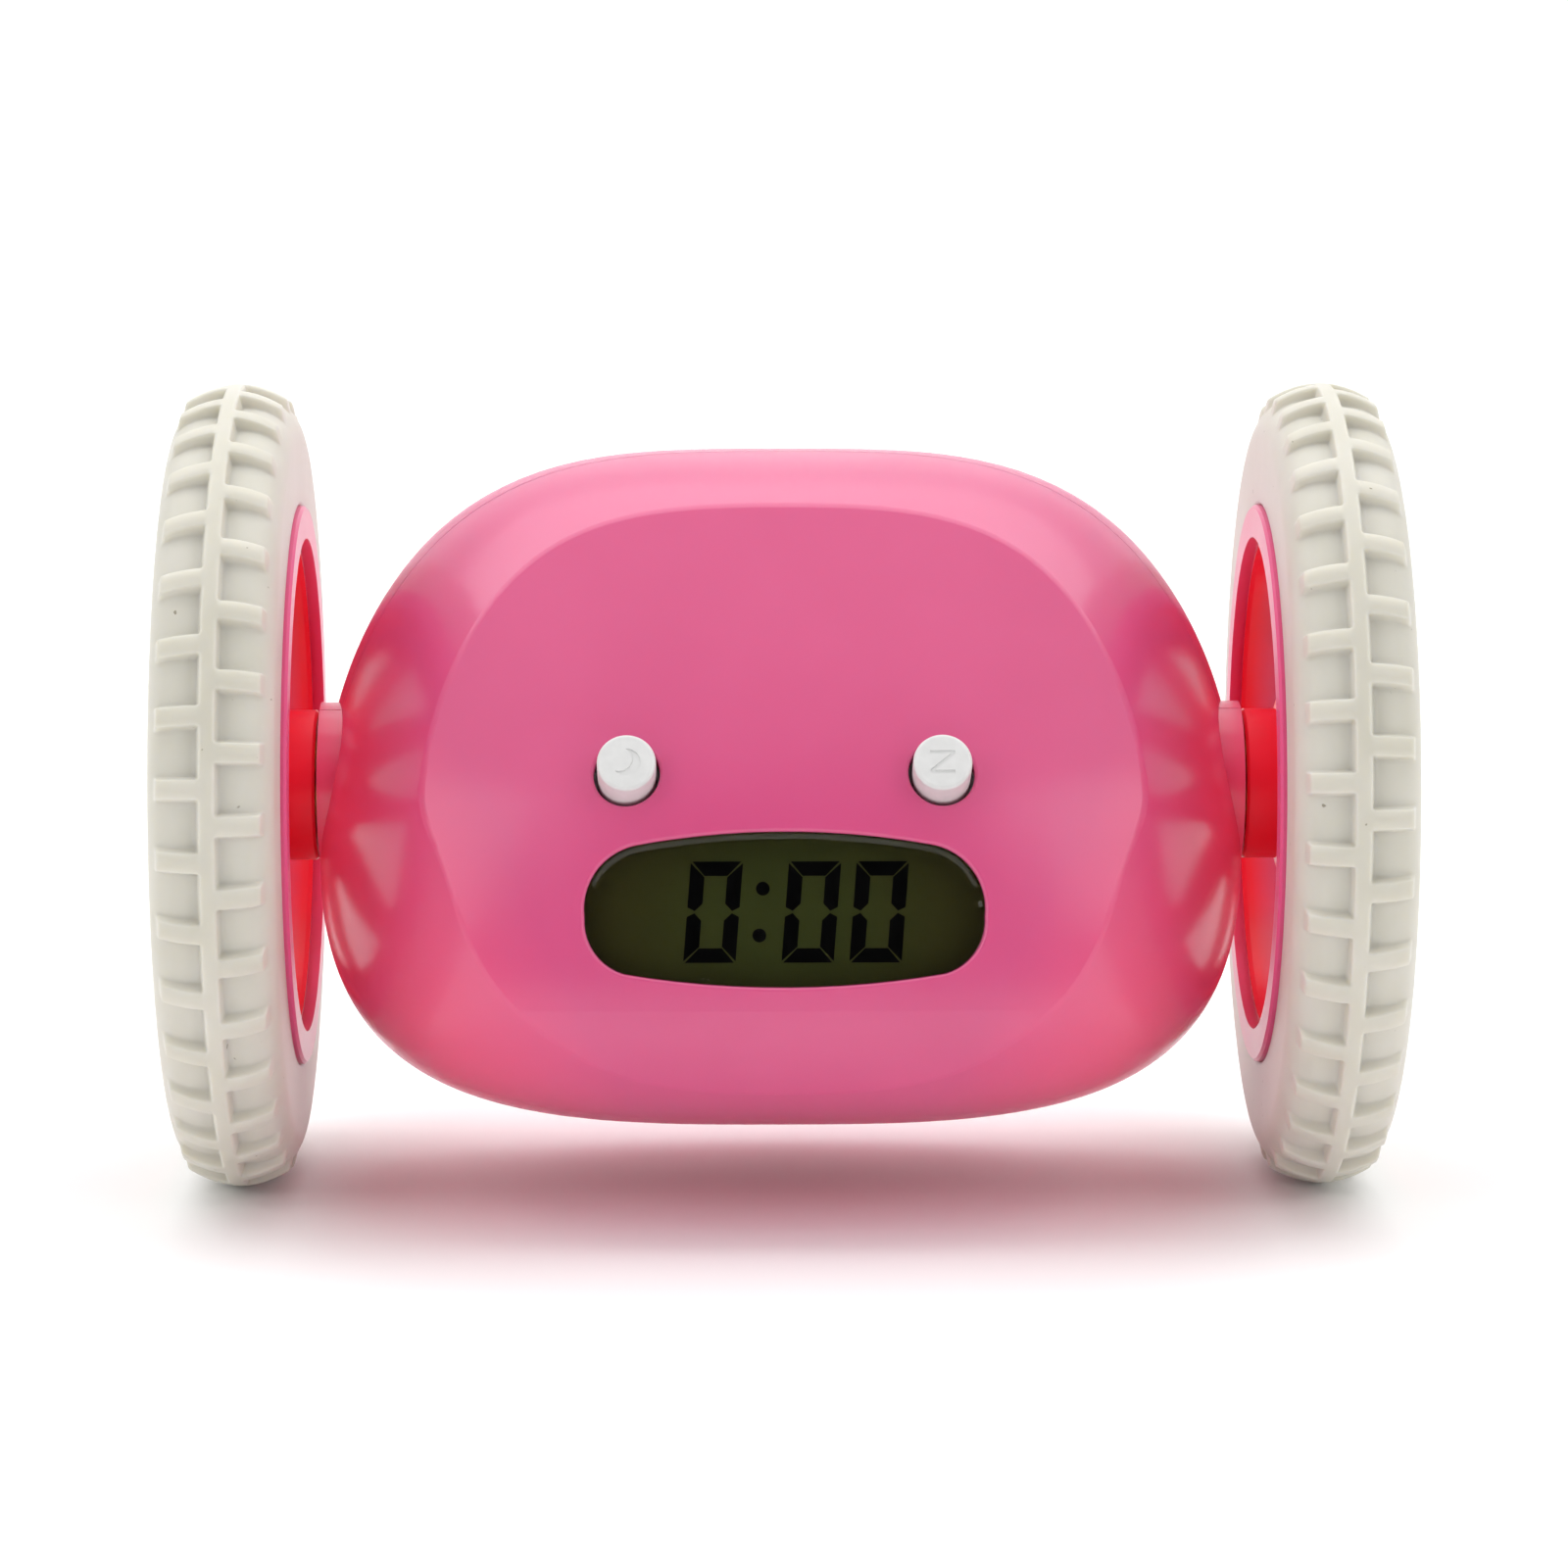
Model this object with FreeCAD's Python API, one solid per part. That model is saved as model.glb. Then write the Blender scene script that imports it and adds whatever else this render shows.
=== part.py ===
import FreeCAD, Part
import math
import os

os.makedirs("parts", exist_ok=True)
V = FreeCAD.Vector

# Frame: X runs to the right seen from the front, the face looks towards -Y,
# Z = 0 is the floor.  Everything is built about the axle line with the face
# upright; save() leans it back by CASE_TILT and lifts it to AXLE_Z.
# Parts that come in pairs are built on the +X side and mirrored.

# ---- driving dimensions, mm ----
WHEEL_DIA = 89.0
OVERALL_WIDTH = 133.0
CASE_TILT = 8.0
AXLE_Z = WHEEL_DIA / 2

CASE_R = 37.4
CASE_DEEP = 38.2
CASE_DEEP_FRONT = 41.9
CASE_HALF = 51.2
CASE_SAG = 6.4
WALL = 2.2
BROW_R = 172.0
FACE_R = 65.0
CHIN_R = 14.0
FACE_TURN_Z = 4.0
FACE_TURN_Q = 31.1
FACE_TURN_TILT = 20.0
CHIN_TILT = -5.0
CHIN_LOW = 70.0
FACE_SWEEP_R = 148.0
CREASE_R = 1.6
RIM_EDGE_R = 0.35
BACK_Y = 33.0
BACK_R = 105.0
SPLIT_Y = -4.0

# clearances: running radius, loose fit, visible seam, glued or seated
RUN = 0.05
FIT = 0.2
SEAM = 0.12

WINDOW_HALF = 21.1
WINDOW_TOP = -5.0
WINDOW_LOW = -21.4
LENS_INSET = 0.5
LENS_LIP = 1.3
LENS_GAP = 0.1

EYE_X = 16.65
EYE_Z = 1.2
EYE_R = 3.12
EYE_HOLE_R = 3.52
EYE_PROUD = 3.4
EYE_TILT = 20.0
EYE_TRAVEL = 0.8
LCD_TILT = 4.0
LCD_Z = -13.2

TYRE_IN_X = 53.2
TYRE_OUT_X = OVERALL_WIDTH / 2
RIM_R = 31.0
FLANGE_X = 52.6
FLANGE_R = 27.4
BARREL_R = 26.8
HUB_R = 8.35
HUB_IN_X = 51.3
AXLE_R = 2.0
BUSH_R = 3.6
COLLAR_R = 9.2
COLLAR_X = 51.0
SPOKES = 8
SPOKE_W = 6.5
SPOKE_T = 1.8

LUGS = 36
RIB_W = 2.0
LUG_DEPTH = 1.5
LUG_LAND = 2.4
LUG_SPAN = 4.55
LUG_TURN_LEFT = 5.6
CROWN_DROP = 1.8
SHOULDER_R = 38.4
SHOULDER_DROP = 0.65

GEAR_M = 0.5
PINION_T = 12
WHEEL_T = 38
GEAR_BACKLASH = 0.12
GEAR_CENTRES = GEAR_M * (PINION_T + WHEEL_T) / 2
IDLER_ANGLE = 50.0
MOTOR_ANGLE = 128.0
PLATE_T = 1.5
PLATE_IN_X = 28.5
PLATE_OUT_X = 38.6
OUTPUT_X = 31.0
IDLER_X = 35.0
MOTOR_R = 10.0
MOTOR_L = 19.5
EAR_X = 25.8
EAR_Y = 14.0
EAR_ZS = (20.0, -6.0)

CELL_R = 5.25
CELL_L = 44.5
CELL_NUB = 1.2
CELL_NUB_R = 1.9
CELL_PITCH = 11.1
CELL_ARC = 27.0
CELLS = 4
CELL_END_X = 23.9
TRAY_WALL = 1.4
CONTACT_T = 0.3
DOOR_HALF = 30.0
DOOR_BACK_Y = 25.0

PCB_T = 1.6
SCREW_X = 33.6
SCREW_ZS = (26.4, -22.0)
SPEAKER_R = 14.0
SPEAKER_Z = 2.0
KEY_X = 19.6
KEY_ZS = (11.0, 3.5, -4.0)
KEY_R = 2.1


# ---- helpers ----
def cyl_x(r, x0, x1, y=0.0, z=0.0):
    return Part.makeCylinder(r, x1 - x0, V(x0, y, z), V(1, 0, 0))


def cyl_y(r, y0, y1, x=0.0, z=0.0):
    return Part.makeCylinder(r, y1 - y0, V(x, y0, z), V(0, 1, 0))


def box(x0, x1, y0, y1, z0, z1):
    return Part.makeBox(x1 - x0, y1 - y0, z1 - z0, V(x0, y0, z0))


def fuse(shapes):
    return shapes[0].fuse(list(shapes[1:])).removeSplitter()


def cut(shape, tools):
    return shape.cut(list(tools))


def mirror_x(shape):
    return shape.mirror(V(0, 0, 0), V(1, 0, 0))


def both_sides(shape):
    return [shape, mirror_x(shape)]


def spin_x(shape, angle, y=0.0, z=0.0):
    turned = shape.copy()
    turned.rotate(V(0, y, z), V(1, 0, 0), angle)
    return turned


def lean(shape, tilt, y, z):
    """Move a piece built facing -Y at the origin to (y, z), looking up by tilt."""
    moved = spin_x(shape, -tilt)
    moved.translate(V(0, y, z))
    return moved


def arc(p0, p1, p2):
    return Part.Arc(p0, p1, p2).toShape()


def line(p0, p1):
    return Part.LineSegment(p0, p1).toShape()


def polar(radius, degrees):
    t = math.radians(degrees)
    return (radius * math.cos(t), radius * math.sin(t))


def lathe_x(profile):
    """Revolve (x, r) points about the X axis."""
    points = [V(x, 0, r) for x, r in profile]
    wire = Part.makePolygon(points + [points[0]])
    return Part.Face(wire).revolve(V(0, 0, 0), V(1, 0, 0), 360)


def largest(shape):
    return sorted(shape.Solids, key=lambda s: s.Volume)[-1]


def save(name, shape, side=0):
    out = shape.copy()
    if side < 0:
        out = mirror_x(out)
    out.rotate(V(0, 0, 0), V(1, 0, 0), -CASE_TILT)
    out.translate(V(0, 0, AXLE_Z))
    if len(out.Solids) == 1:
        out = out.Solids[0]
    else:
        out = Part.makeCompound(out.Solids)
    print(name, len(out.Solids), out.isValid(), round(out.Volume, 1))
    out.exportStep("parts/" + name + ".step")


def save_pair(name, shape):
    save(name + "_right", shape)
    save(name + "_left", shape, -1)


# ---- case form ----
# Sections across X are superellipses whose centres sag towards the ends.  The
# exponent differs by quadrant: flat brow in front above, full chin below.
def half_height(x):
    return CASE_R * (1 - (abs(x) / CASE_HALF) ** 3.4) ** (1 / 2.2)


def half_depth(x, deep=CASE_DEEP):
    return deep * (1 - (abs(x) / CASE_HALF) ** 2.03) ** (1 / 2.03)


def sag(x):
    return -CASE_SAG * (abs(x) / CASE_HALF) ** 3.7


def quadrant_power(c, s, x):
    """Roundness of a section's quarter; the brow gets flatter towards the ends."""
    if c < 0:
        return 1.58 - 0.37 * (x / CASE_HALF) ** 2 if s > 0 else 3.3
    return 2.0 if s > 0 else 2.3


def section(x, inset):
    high = half_height(x) - inset
    deep_back = half_depth(x) - inset
    deep_front = half_depth(x, CASE_DEEP_FRONT) - inset
    points = []
    count = 48
    for i in range(count):
        t = 2 * math.pi * (i + 0.5) / count
        c = math.cos(t)
        s = math.sin(t)
        power = quadrant_power(c, s, x)
        deep = deep_front if c < 0 else deep_back
        y = deep * math.copysign(abs(c) ** (2 / power), c)
        z = high * math.copysign(abs(s) ** (2 / power), s)
        points.append(V(x, y, z + sag(x)))
    curve = Part.BSplineCurve()
    curve.interpolate(points, PeriodicFlag=True)
    return Part.Wire(curve.toShape())


def barrel(inset):
    reach = CASE_HALF - 0.35 - inset
    count = 15
    stations = []
    for i in range(count):
        t = math.pi * i / (count - 1)
        stations.append(-reach * math.cos(t))
    return Part.makeLoft([section(x, inset) for x in stations], True, False)


# The face in the plane X = 0, as q forwards and z up: a flat brow arc, a
# tighter face arc from the eyes down, and the chin, each tangent to the last.
def tangent_centre(q, z, tilt, r):
    dq, dz = polar(r, tilt)
    return (q - dq, z - dz)


BROW_C = tangent_centre(FACE_TURN_Q, FACE_TURN_Z, FACE_TURN_TILT, BROW_R)
FACE_C = tangent_centre(FACE_TURN_Q, FACE_TURN_Z, FACE_TURN_TILT, FACE_R)
CHIN_TOP = tuple(c + p for c, p in zip(FACE_C, polar(FACE_R, CHIN_TILT)))
CHIN_C = tangent_centre(CHIN_TOP[0], CHIN_TOP[1], CHIN_TILT, CHIN_R)
SWEEP_Q = FACE_TURN_Q - FACE_SWEEP_R


def on_arc(centre, r, tilt):
    dq, dz = polar(r, tilt)
    return V(0, -(centre[0] + dq), centre[1] + dz)


def face_form(inset):
    brow = BROW_R - inset
    face = FACE_R - inset
    chin = CHIN_R - inset
    p_top = on_arc(BROW_C, brow, 45)
    p_turn = on_arc(BROW_C, brow, FACE_TURN_TILT)
    p_chin = on_arc(FACE_C, face, CHIN_TILT)
    p_low = on_arc(CHIN_C, chin, -CHIN_LOW)
    fall = (60 - p_low.y) * math.tan(math.radians(90 - CHIN_LOW))
    p_end = V(0, 60, p_low.z - fall)
    p_back = V(0, 60, p_top.z)
    edges = [
        arc(p_top, on_arc(BROW_C, brow, 33), p_turn),
        arc(p_turn, on_arc(FACE_C, face, 12), p_chin),
        arc(p_chin, on_arc(CHIN_C, chin, (CHIN_TILT - CHIN_LOW) / 2), p_low),
        line(p_low, p_end),
        line(p_end, p_back),
        line(p_back, p_top),
    ]
    swept = Part.Face(Part.Wire(edges))
    swept.rotate(V(0, -SWEEP_Q, 0), V(0, 0, 1), -40)
    return swept.revolve(V(0, -SWEEP_Q, 0), V(0, 0, 1), 80)


def face_y(x, z):
    """Y of the outer face surface above the chin."""
    if z > FACE_TURN_Z:
        q = BROW_C[0] + math.sqrt(BROW_R ** 2 - (z - BROW_C[1]) ** 2)
    else:
        q = FACE_C[0] + math.sqrt(FACE_R ** 2 - (z - FACE_C[1]) ** 2)
    return -(SWEEP_Q + math.sqrt((q - SWEEP_Q) ** 2 - x * x))


def back_form(inset):
    return Part.makeSphere(BACK_R - inset, V(0, BACK_Y - BACK_R, 0))


def case_form(inset):
    body = barrel(inset).common(face_form(inset))
    return largest(body.common(back_form(inset)))




outer = case_form(0.0)
creases = [e for e in outer.Edges if e.BoundBox.YMax < -5 and e.BoundBox.ZMax > 5]
outer = outer.makeFillet(CREASE_R, creases)
inner = case_form(WALL)

# ---- running gear positions ----
IDLER_Y, IDLER_Z = polar(GEAR_CENTRES, IDLER_ANGLE)
MOTOR_DY, MOTOR_DZ = polar(GEAR_CENTRES, MOTOR_ANGLE)
MOTOR_Y = IDLER_Y + MOTOR_DY
MOTOR_Z = IDLER_Z + MOTOR_DZ
PINION_X = IDLER_X
IDLER_W = PLATE_OUT_X - IDLER_X - 1.2
OUTPUT_W = IDLER_X - OUTPUT_X - 1.0

# ---- battery positions: an arc about the axle, centred below it at rest ----
CELL_STEP = math.degrees(CELL_PITCH / CELL_ARC)
CELL_ANGLES = [CASE_TILT + CELL_STEP * (i - (CELLS - 1) / 2) for i in range(CELLS)]
CELL_SPOTS = [(CELL_ARC * math.sin(math.radians(a)), -CELL_ARC * math.cos(math.radians(a)))
              for a in CELL_ANGLES]

# ---- window, eyes ----


def window_prism(grow):
    half = WINDOW_HALF + grow
    top = WINDOW_TOP + grow
    low = WINDOW_LOW - grow
    mid = (top + low) / 2
    tall = (top - low) / 2
    shoulder = 0.73 * half
    cheek = 0.96 * half
    hip = 0.80 * half
    side_z = mid - 0.10 * tall
    p = [
        V(-shoulder, 0, top - 0.17 * tall),
        V(shoulder, 0, top - 0.17 * tall),
        V(half, 0, side_z),
        V(hip, 0, low + 0.17 * tall),
        V(-hip, 0, low + 0.17 * tall),
        V(-half, 0, side_z),
    ]
    edges = [
        arc(p[0], V(0, 0, top), p[1]),
        arc(p[1], V(cheek, 0, mid + 0.42 * tall), p[2]),
        arc(p[2], V(0.95 * half, 0, mid - 0.56 * tall), p[3]),
        arc(p[3], V(0, 0, low), p[4]),
        arc(p[4], V(-0.95 * half, 0, mid - 0.56 * tall), p[5]),
        arc(p[5], V(-cheek, 0, mid + 0.42 * tall), p[0]),
    ]
    face = Part.Face(Part.Wire(edges))
    face.translate(V(0, -60, 0))
    return face.extrude(V(0, 50, 0))


EYE_Y = face_y(EYE_X, EYE_Z)
LCD_Y = face_y(0, LCD_Z)


def at_eye(shape):
    return lean(shape, EYE_TILT, EYE_Y, EYE_Z)


def at_lcd(shape):
    return lean(shape, LCD_TILT, LCD_Y, LCD_Z)


# Depths behind the face surface, along each leaning axis.
FLANGE_IN = 3.3
FLANGE_T = 0.8
PLUNGER_IN = FLANGE_IN + FLANGE_T + 0.1
SWITCH_IN = PLUNGER_IN + EYE_TRAVEL
SWITCH_H = 3.4
BOARD_IN = SWITCH_IN + SWITCH_H
GLASS_IN = 6.0
GLASS_T = 2.0
ZEBRA_H = 2.6
MAIN_IN = GLASS_IN + GLASS_T + ZEBRA_H

EYE_SCREWS = ((27.4, 8.5), (27.4, -1.0))
LCD_SCREWS = ((26.3, 5.0), (26.3, -8.5))
PCB_SCREW_R = 0.8
PCB_SCREW_L = 3.0


def board_bores(r, y0, y1):
    bores = []
    for bx, bz in EYE_SCREWS:
        bores += both_sides(at_eye(cyl_y(r, BOARD_IN + y0, BOARD_IN + y1, bx, bz)))
    for bx, bz in LCD_SCREWS:
        bores += both_sides(at_lcd(cyl_y(r, MAIN_IN + y0, MAIN_IN + y1, bx, bz)))
    return bores


# ---- shells ----
# Each shell is its half of the solid case less a cavity from which posts, ribs
# and collars are kept.  A tongue on the front shell seats in the back shell.
BIG = 80.0
FRONT_Y = SPLIT_Y - SEAM / 2
BACK_SPLIT_Y = SPLIT_Y + SEAM / 2
front_half = box(-BIG, BIG, -BIG, FRONT_Y, -BIG, BIG)
back_half = box(-BIG, BIG, BACK_SPLIT_Y, BIG, -BIG, BIG)
TONGUE_L = 1.8
tongue = case_form(WALL / 2 + SEAM).cut(inner).common(
    box(-BIG, BIG, FRONT_Y - 0.8, SPLIT_Y + TONGUE_L, -BIG, BIG))
groove = case_form(WALL / 2).common(
    box(-BIG, BIG, SPLIT_Y - 1, SPLIT_Y + TONGUE_L + SEAM, -BIG, BIG))

collar = cyl_x(COLLAR_R, 43.0, COLLAR_X)
collars = both_sides(collar)
bush_bores = both_sides(cyl_x(BUSH_R, 40.0, COLLAR_X + 1))


def screw_posts(r, y0, y1):
    posts = []
    for z in SCREW_ZS:
        posts += both_sides(cyl_y(r, y0, y1, SCREW_X, z))
    return posts


SCREW_HEAD_Y = 11.0
SCREW_BITE = 4.4
POST_R = 3.2
board_posts = []
for px, pz in EYE_SCREWS:
    board_posts += both_sides(at_eye(cyl_y(1.8, 0.5, BOARD_IN, px, pz)))
for px, pz in LCD_SCREWS:
    board_posts += both_sides(at_lcd(cyl_y(1.8, 2.0, MAIN_IN, px, pz)))
front_kept = screw_posts(POST_R, -BIG, BIG) + board_posts + collars
front_cavity = cut(inner, front_kept)
eye_holes = [at_eye(h) for h in both_sides(cyl_y(EYE_HOLE_R, -6, 8, EYE_X, 0))]
front_block = cut(outer.common(front_half), [window_prism(0.0)] + eye_holes)


def on_rim(edge):
    """True for an edge round the window or an eye hole, on the outer skin."""
    for i in range(5):
        at = edge.valueAt(edge.FirstParameter + (edge.LastParameter - edge.FirstParameter) * i / 4)
        if abs(at.x) > WINDOW_HALF + 1 or not WINDOW_LOW - 1 < at.z < EYE_Z + 5:
            return False
        if abs(at.y - face_y(at.x, at.z)) > 0.1:
            return False
    return True


front_block = front_block.makeFillet(RIM_EDGE_R, [e for e in front_block.Edges if on_rim(e)])
front = cut(front_block.fuse([c.common(front_half) for c in collars]), [front_cavity])
front = front.fuse(tongue)
front = cut(front, bush_bores + screw_posts(0.8, SPLIT_Y - SCREW_BITE - 0.8, BIG)
            + board_bores(PCB_SCREW_R, -PCB_SCREW_L, 5.0))
save("front_shell", largest(front))

KEY_BOARD_Y = 23.4
FRAME_SCREW_L = 4.0
ear_posts = []
ear_pilots = []
for ez in EAR_ZS:
    ear_posts += both_sides(cyl_y(2.4, EAR_Y + PLATE_T, BIG, EAR_X, ez))
    ear_pilots += both_sides(cyl_y(PCB_SCREW_R, EAR_Y, EAR_Y + FRAME_SCREW_L, EAR_X, ez))
key_posts = []
for kz in (KEY_ZS[0] + 5.4, KEY_ZS[-1] - 5.4):
    key_posts += both_sides(cyl_y(1.6, KEY_BOARD_Y, BIG, KEY_X, kz))
seat = cyl_y(SPEAKER_R + 1.6, 26.0, BIG, 0, SPEAKER_Z).cut(
    cyl_y(SPEAKER_R + 0.1, 25.0, BIG, 0, SPEAKER_Z))
TRAY_X = CELL_END_X + CONTACT_T
TRAY_END_X = TRAY_X + TRAY_WALL
RIB_T = 1.5
clear_of_door = case_form(WALL + 0.4)
rib_slab = box(TRAY_END_X, TRAY_END_X + RIB_T, SPLIT_Y + 2.4, 30.0, -36.0, -12.0)
door_reach = box(-40, 40, -40, DOOR_BACK_Y + 0.6, -BIG, 0)
rib = rib_slab.cut(door_reach.cut(clear_of_door))
back_kept = (screw_posts(POST_R, -BIG, BIG) + ear_posts + key_posts + [seat]
             + both_sides(rib) + collars)
back_cavity = cut(inner, back_kept)
back_blank = outer.common(back_half).fuse([c.common(back_half) for c in collars])
door_slot = box(-DOOR_HALF - FIT, DOOR_HALF + FIT, SPLIT_Y - 1, DOOR_BACK_Y + FIT, -BIG, -12.0)
back = cut(back_blank, [back_cavity, door_slot.cut(clear_of_door), groove])

grille = [cyl_y(1.0, 20, BIG, 0, SPEAKER_Z)]
for ring_r, ring_n in ((3.8, 6), (7.4, 12), (10.9, 18)):
    for i in range(ring_n):
        gx, gz = polar(ring_r, 360.0 * i / ring_n)
        grille.append(cyl_y(1.0, 20, BIG, gx, SPEAKER_Z + gz))
key_holes = []
for kz in KEY_ZS:
    key_holes += both_sides(cyl_y(KEY_R + FIT, 26.0, BIG, KEY_X, kz))
back = cut(back, grille + key_holes + bush_bores + screw_posts(1.25, -BIG, BIG)
           + screw_posts(2.5, SCREW_HEAD_Y, BIG) + ear_pilots)
save("back_shell", largest(back))

# Battery door: a piece of the wall, grooved for the tongue in front, with a
# latch tab behind and grip lines across it.
door_box = box(-DOOR_HALF, DOOR_HALF, BACK_SPLIT_Y, DOOR_BACK_Y, -BIG, -12.0)
door = outer.common(door_box).cut(inner).cut(groove)
door_grip = []
for i in range(5):
    gy = DOOR_BACK_Y - 4.0 - 2.0 * i
    gz = -CASE_R * (1 - (gy / CASE_DEEP) ** 2.3) ** (1 / 2.3)
    door_grip.append(cyl_x(0.5, -4.5, 4.5, gy, gz))
save("battery_door", largest(cut(door, door_grip)))

# ---- window lens, eyes, display ----
lens = fuse([
    window_prism(-LENS_GAP).common(case_form(LENS_INSET)).cut(case_form(WALL + 0.9)),
    window_prism(LENS_LIP).common(inner).cut(case_form(WALL + 0.9)),
])
save("display_lens", largest(lens))


def pin_y(r, y0, y1, round_r, x=0.0):
    """A round pin along Y whose front rim at y0 is rounded."""
    pin = cyl_y(r, y0, y1, x)
    rim = [e for e in pin.Edges if e.BoundBox.YMax < y0 + 0.01]
    return pin.makeFillet(round_r, rim)


eye = fuse([
    pin_y(EYE_R, -EYE_PROUD, FLANGE_IN + 0.1, 0.4, EYE_X),
    cyl_y(EYE_HOLE_R + 0.7, FLANGE_IN, FLANGE_IN + FLANGE_T, EYE_X),
])
# Shallow marks on the caps: a crescent for snooze, a bell-shaped stroke pair.
moon = cyl_y(1.5, -EYE_PROUD - 1, -EYE_PROUD + 0.12, EYE_X).cut(
    cyl_y(1.35, -EYE_PROUD - 1, -EYE_PROUD + 0.2, EYE_X + 0.75, 0.35))
bars = [box(EYE_X - 1.3, EYE_X + 1.3, -EYE_PROUD - 1, -EYE_PROUD + 0.12, z - 0.17, z + 0.17)
        for z in (-1.1, 1.1)]
slash = box(-1.55, 1.55, -EYE_PROUD - 1, -EYE_PROUD + 0.12, -0.17, 0.17)
slash.rotate(V(0, 0, 0), V(0, 1, 0), -40)
slash.translate(V(EYE_X, 0, 0))
save("alarm_button", at_eye(eye.cut(fuse(bars + [slash]))))
save("snooze_button", at_eye(mirror_x(eye.cut(moon))))

switch = fuse([
    box(EYE_X - 2.8, EYE_X + 2.8, SWITCH_IN, BOARD_IN, -2.8, 2.8),
    cyl_y(1.7, PLUNGER_IN + EYE_TRAVEL, SWITCH_IN + 0.2, EYE_X),
])
save("front_switches", at_eye(Part.makeCompound(both_sides(switch))))
button_board = box(-29.5, 29.5, BOARD_IN, BOARD_IN + PCB_T, -2.85, 11.0)
save("button_board", cut(at_eye(button_board), board_bores(0.9, -9, 9)))

GLASS_TOP = 8.7
GLASS_LOW = -8.7
GLASS_HALF = 22.2
glass = box(-GLASS_HALF, GLASS_HALF, GLASS_IN, GLASS_IN + GLASS_T, GLASS_LOW, GLASS_TOP)
save("display_glass", at_lcd(glass))

# Segments stand for the printed-in electrodes that show dark.
DIGIT_H = 10.6
DIGIT_W = 5.5
DIGIT_STROKE = 1.55
DIGIT_SLANT = math.tan(math.radians(4.5))
DIGIT_XS = (-7.5, 2.85, 10.0)
COLON_X = -2.45
SEG_GAP = 0.12
SEG_T = 0.05


def segment(points, x0):
    flat = [V(x0 + x + z * DIGIT_SLANT, 0, z) for x, z in points]
    face = Part.Face(Part.makePolygon(flat + [flat[0]]))
    face.translate(V(0, GLASS_IN - SEG_T, 0))
    return face.extrude(V(0, SEG_T, 0))


def zero_segments(x0):
    w = DIGIT_W / 2
    h = DIGIT_H / 2
    s = DIGIT_STROKE
    g = SEG_GAP
    top = [(-w + g * 1.4, h), (w - g * 1.4, h), (w - s, h - s + g * 0.4), (-w + s, h - s + g * 0.4)]
    side = [(w, h - g * 1.4), (w, s / 4 + g), (w - s / 2, g), (w - s, s / 2 + g), (w - s, h - s - g)]
    parts = []
    for sz in (1, -1):
        parts.append(segment([(x, sz * z) for x, z in top], x0))
        for sx in (1, -1):
            parts.append(segment([(sx * x, sz * z) for x, z in side], x0))
    return parts


digits = []
for x0 in DIGIT_XS:
    digits += zero_segments(x0)
for z in (2.45, -2.45):
    digits.append(cyl_y(0.72, GLASS_IN - SEG_T, GLASS_IN, COLON_X + z * DIGIT_SLANT, z))
save("display_segments", at_lcd(Part.makeCompound(digits)))

FRAME_T = 1.2
frame_out = box(-GLASS_HALF - FRAME_T, GLASS_HALF + FRAME_T, GLASS_IN + 0.4, MAIN_IN,
                GLASS_LOW - FRAME_T, GLASS_TOP + 0.5)
frame_in = box(-GLASS_HALF, GLASS_HALF, GLASS_IN - 1, GLASS_IN + GLASS_T, GLASS_LOW, GLASS_TOP)
frame_hole = box(-GLASS_HALF + 1, GLASS_HALF - 1, GLASS_IN, MAIN_IN + 1,
                 GLASS_LOW + 1, GLASS_TOP - 2)
clear_of_wall = case_form(WALL + 0.3)
frame = at_lcd(frame_out.cut(frame_in).cut(frame_hole)).common(clear_of_wall)
save("display_frame", largest(frame))
zebra = box(-GLASS_HALF + 4, GLASS_HALF - 4, GLASS_IN + GLASS_T, MAIN_IN,
            GLASS_LOW + 1, GLASS_LOW + 3)
save("display_connector", at_lcd(zebra))
main_board = box(-27.5, 27.5, MAIN_IN, MAIN_IN + PCB_T, -11.0, 7.4)
save("main_board", cut(at_lcd(main_board).common(clear_of_wall), board_bores(0.9, -9, 9)))
blob = Part.makeSphere(9.0, V(0, MAIN_IN + PCB_T - 7.4, -1.0)).common(
    box(-9, 9, MAIN_IN + PCB_T, MAIN_IN + PCB_T + 3, -10, 9))
save("controller_blob", at_lcd(blob))



def small_screw(shank):
    """Pan head screw along Y, head towards +Y, seated at y = 0."""
    return fuse([pan_head(1.7, 1.1), cyl_y(PCB_SCREW_R, -shank, 0.2)])


def pan_head(r, tall):
    head = cyl_y(r, 0, tall)
    head = head.makeFillet(0.4, [e for e in head.Edges if e.BoundBox.YMin > tall - 0.01])
    cross = [box(-r * 0.6, r * 0.6, tall * 0.5, tall + 1, -0.2, 0.2),
             box(-0.2, 0.2, tall * 0.5, tall + 1, -r * 0.6, r * 0.6)]
    return cut(head, cross)


def moved(shape, x, y, z):
    out = shape.copy()
    out.translate(V(x, y, z))
    return out


board_screws = []
for sx, sz in EYE_SCREWS:
    board_screws += both_sides(at_eye(moved(small_screw(PCB_SCREW_L), sx, BOARD_IN + PCB_T, sz)))
for sx, sz in LCD_SCREWS:
    board_screws += both_sides(at_lcd(moved(small_screw(PCB_SCREW_L), sx, MAIN_IN + PCB_T, sz)))
save("board_screws", Part.makeCompound(board_screws))

# ---- case screws, from the back ----
case_screw = fuse([pan_head(2.1, 1.5), cyl_y(0.8, SPLIT_Y - SCREW_BITE - SCREW_HEAD_Y, 0.2)])
case_screws = []
for sz in SCREW_ZS:
    case_screws += both_sides(moved(case_screw, SCREW_X, SCREW_HEAD_Y, sz))
save("case_screws", Part.makeCompound(case_screws))

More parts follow.
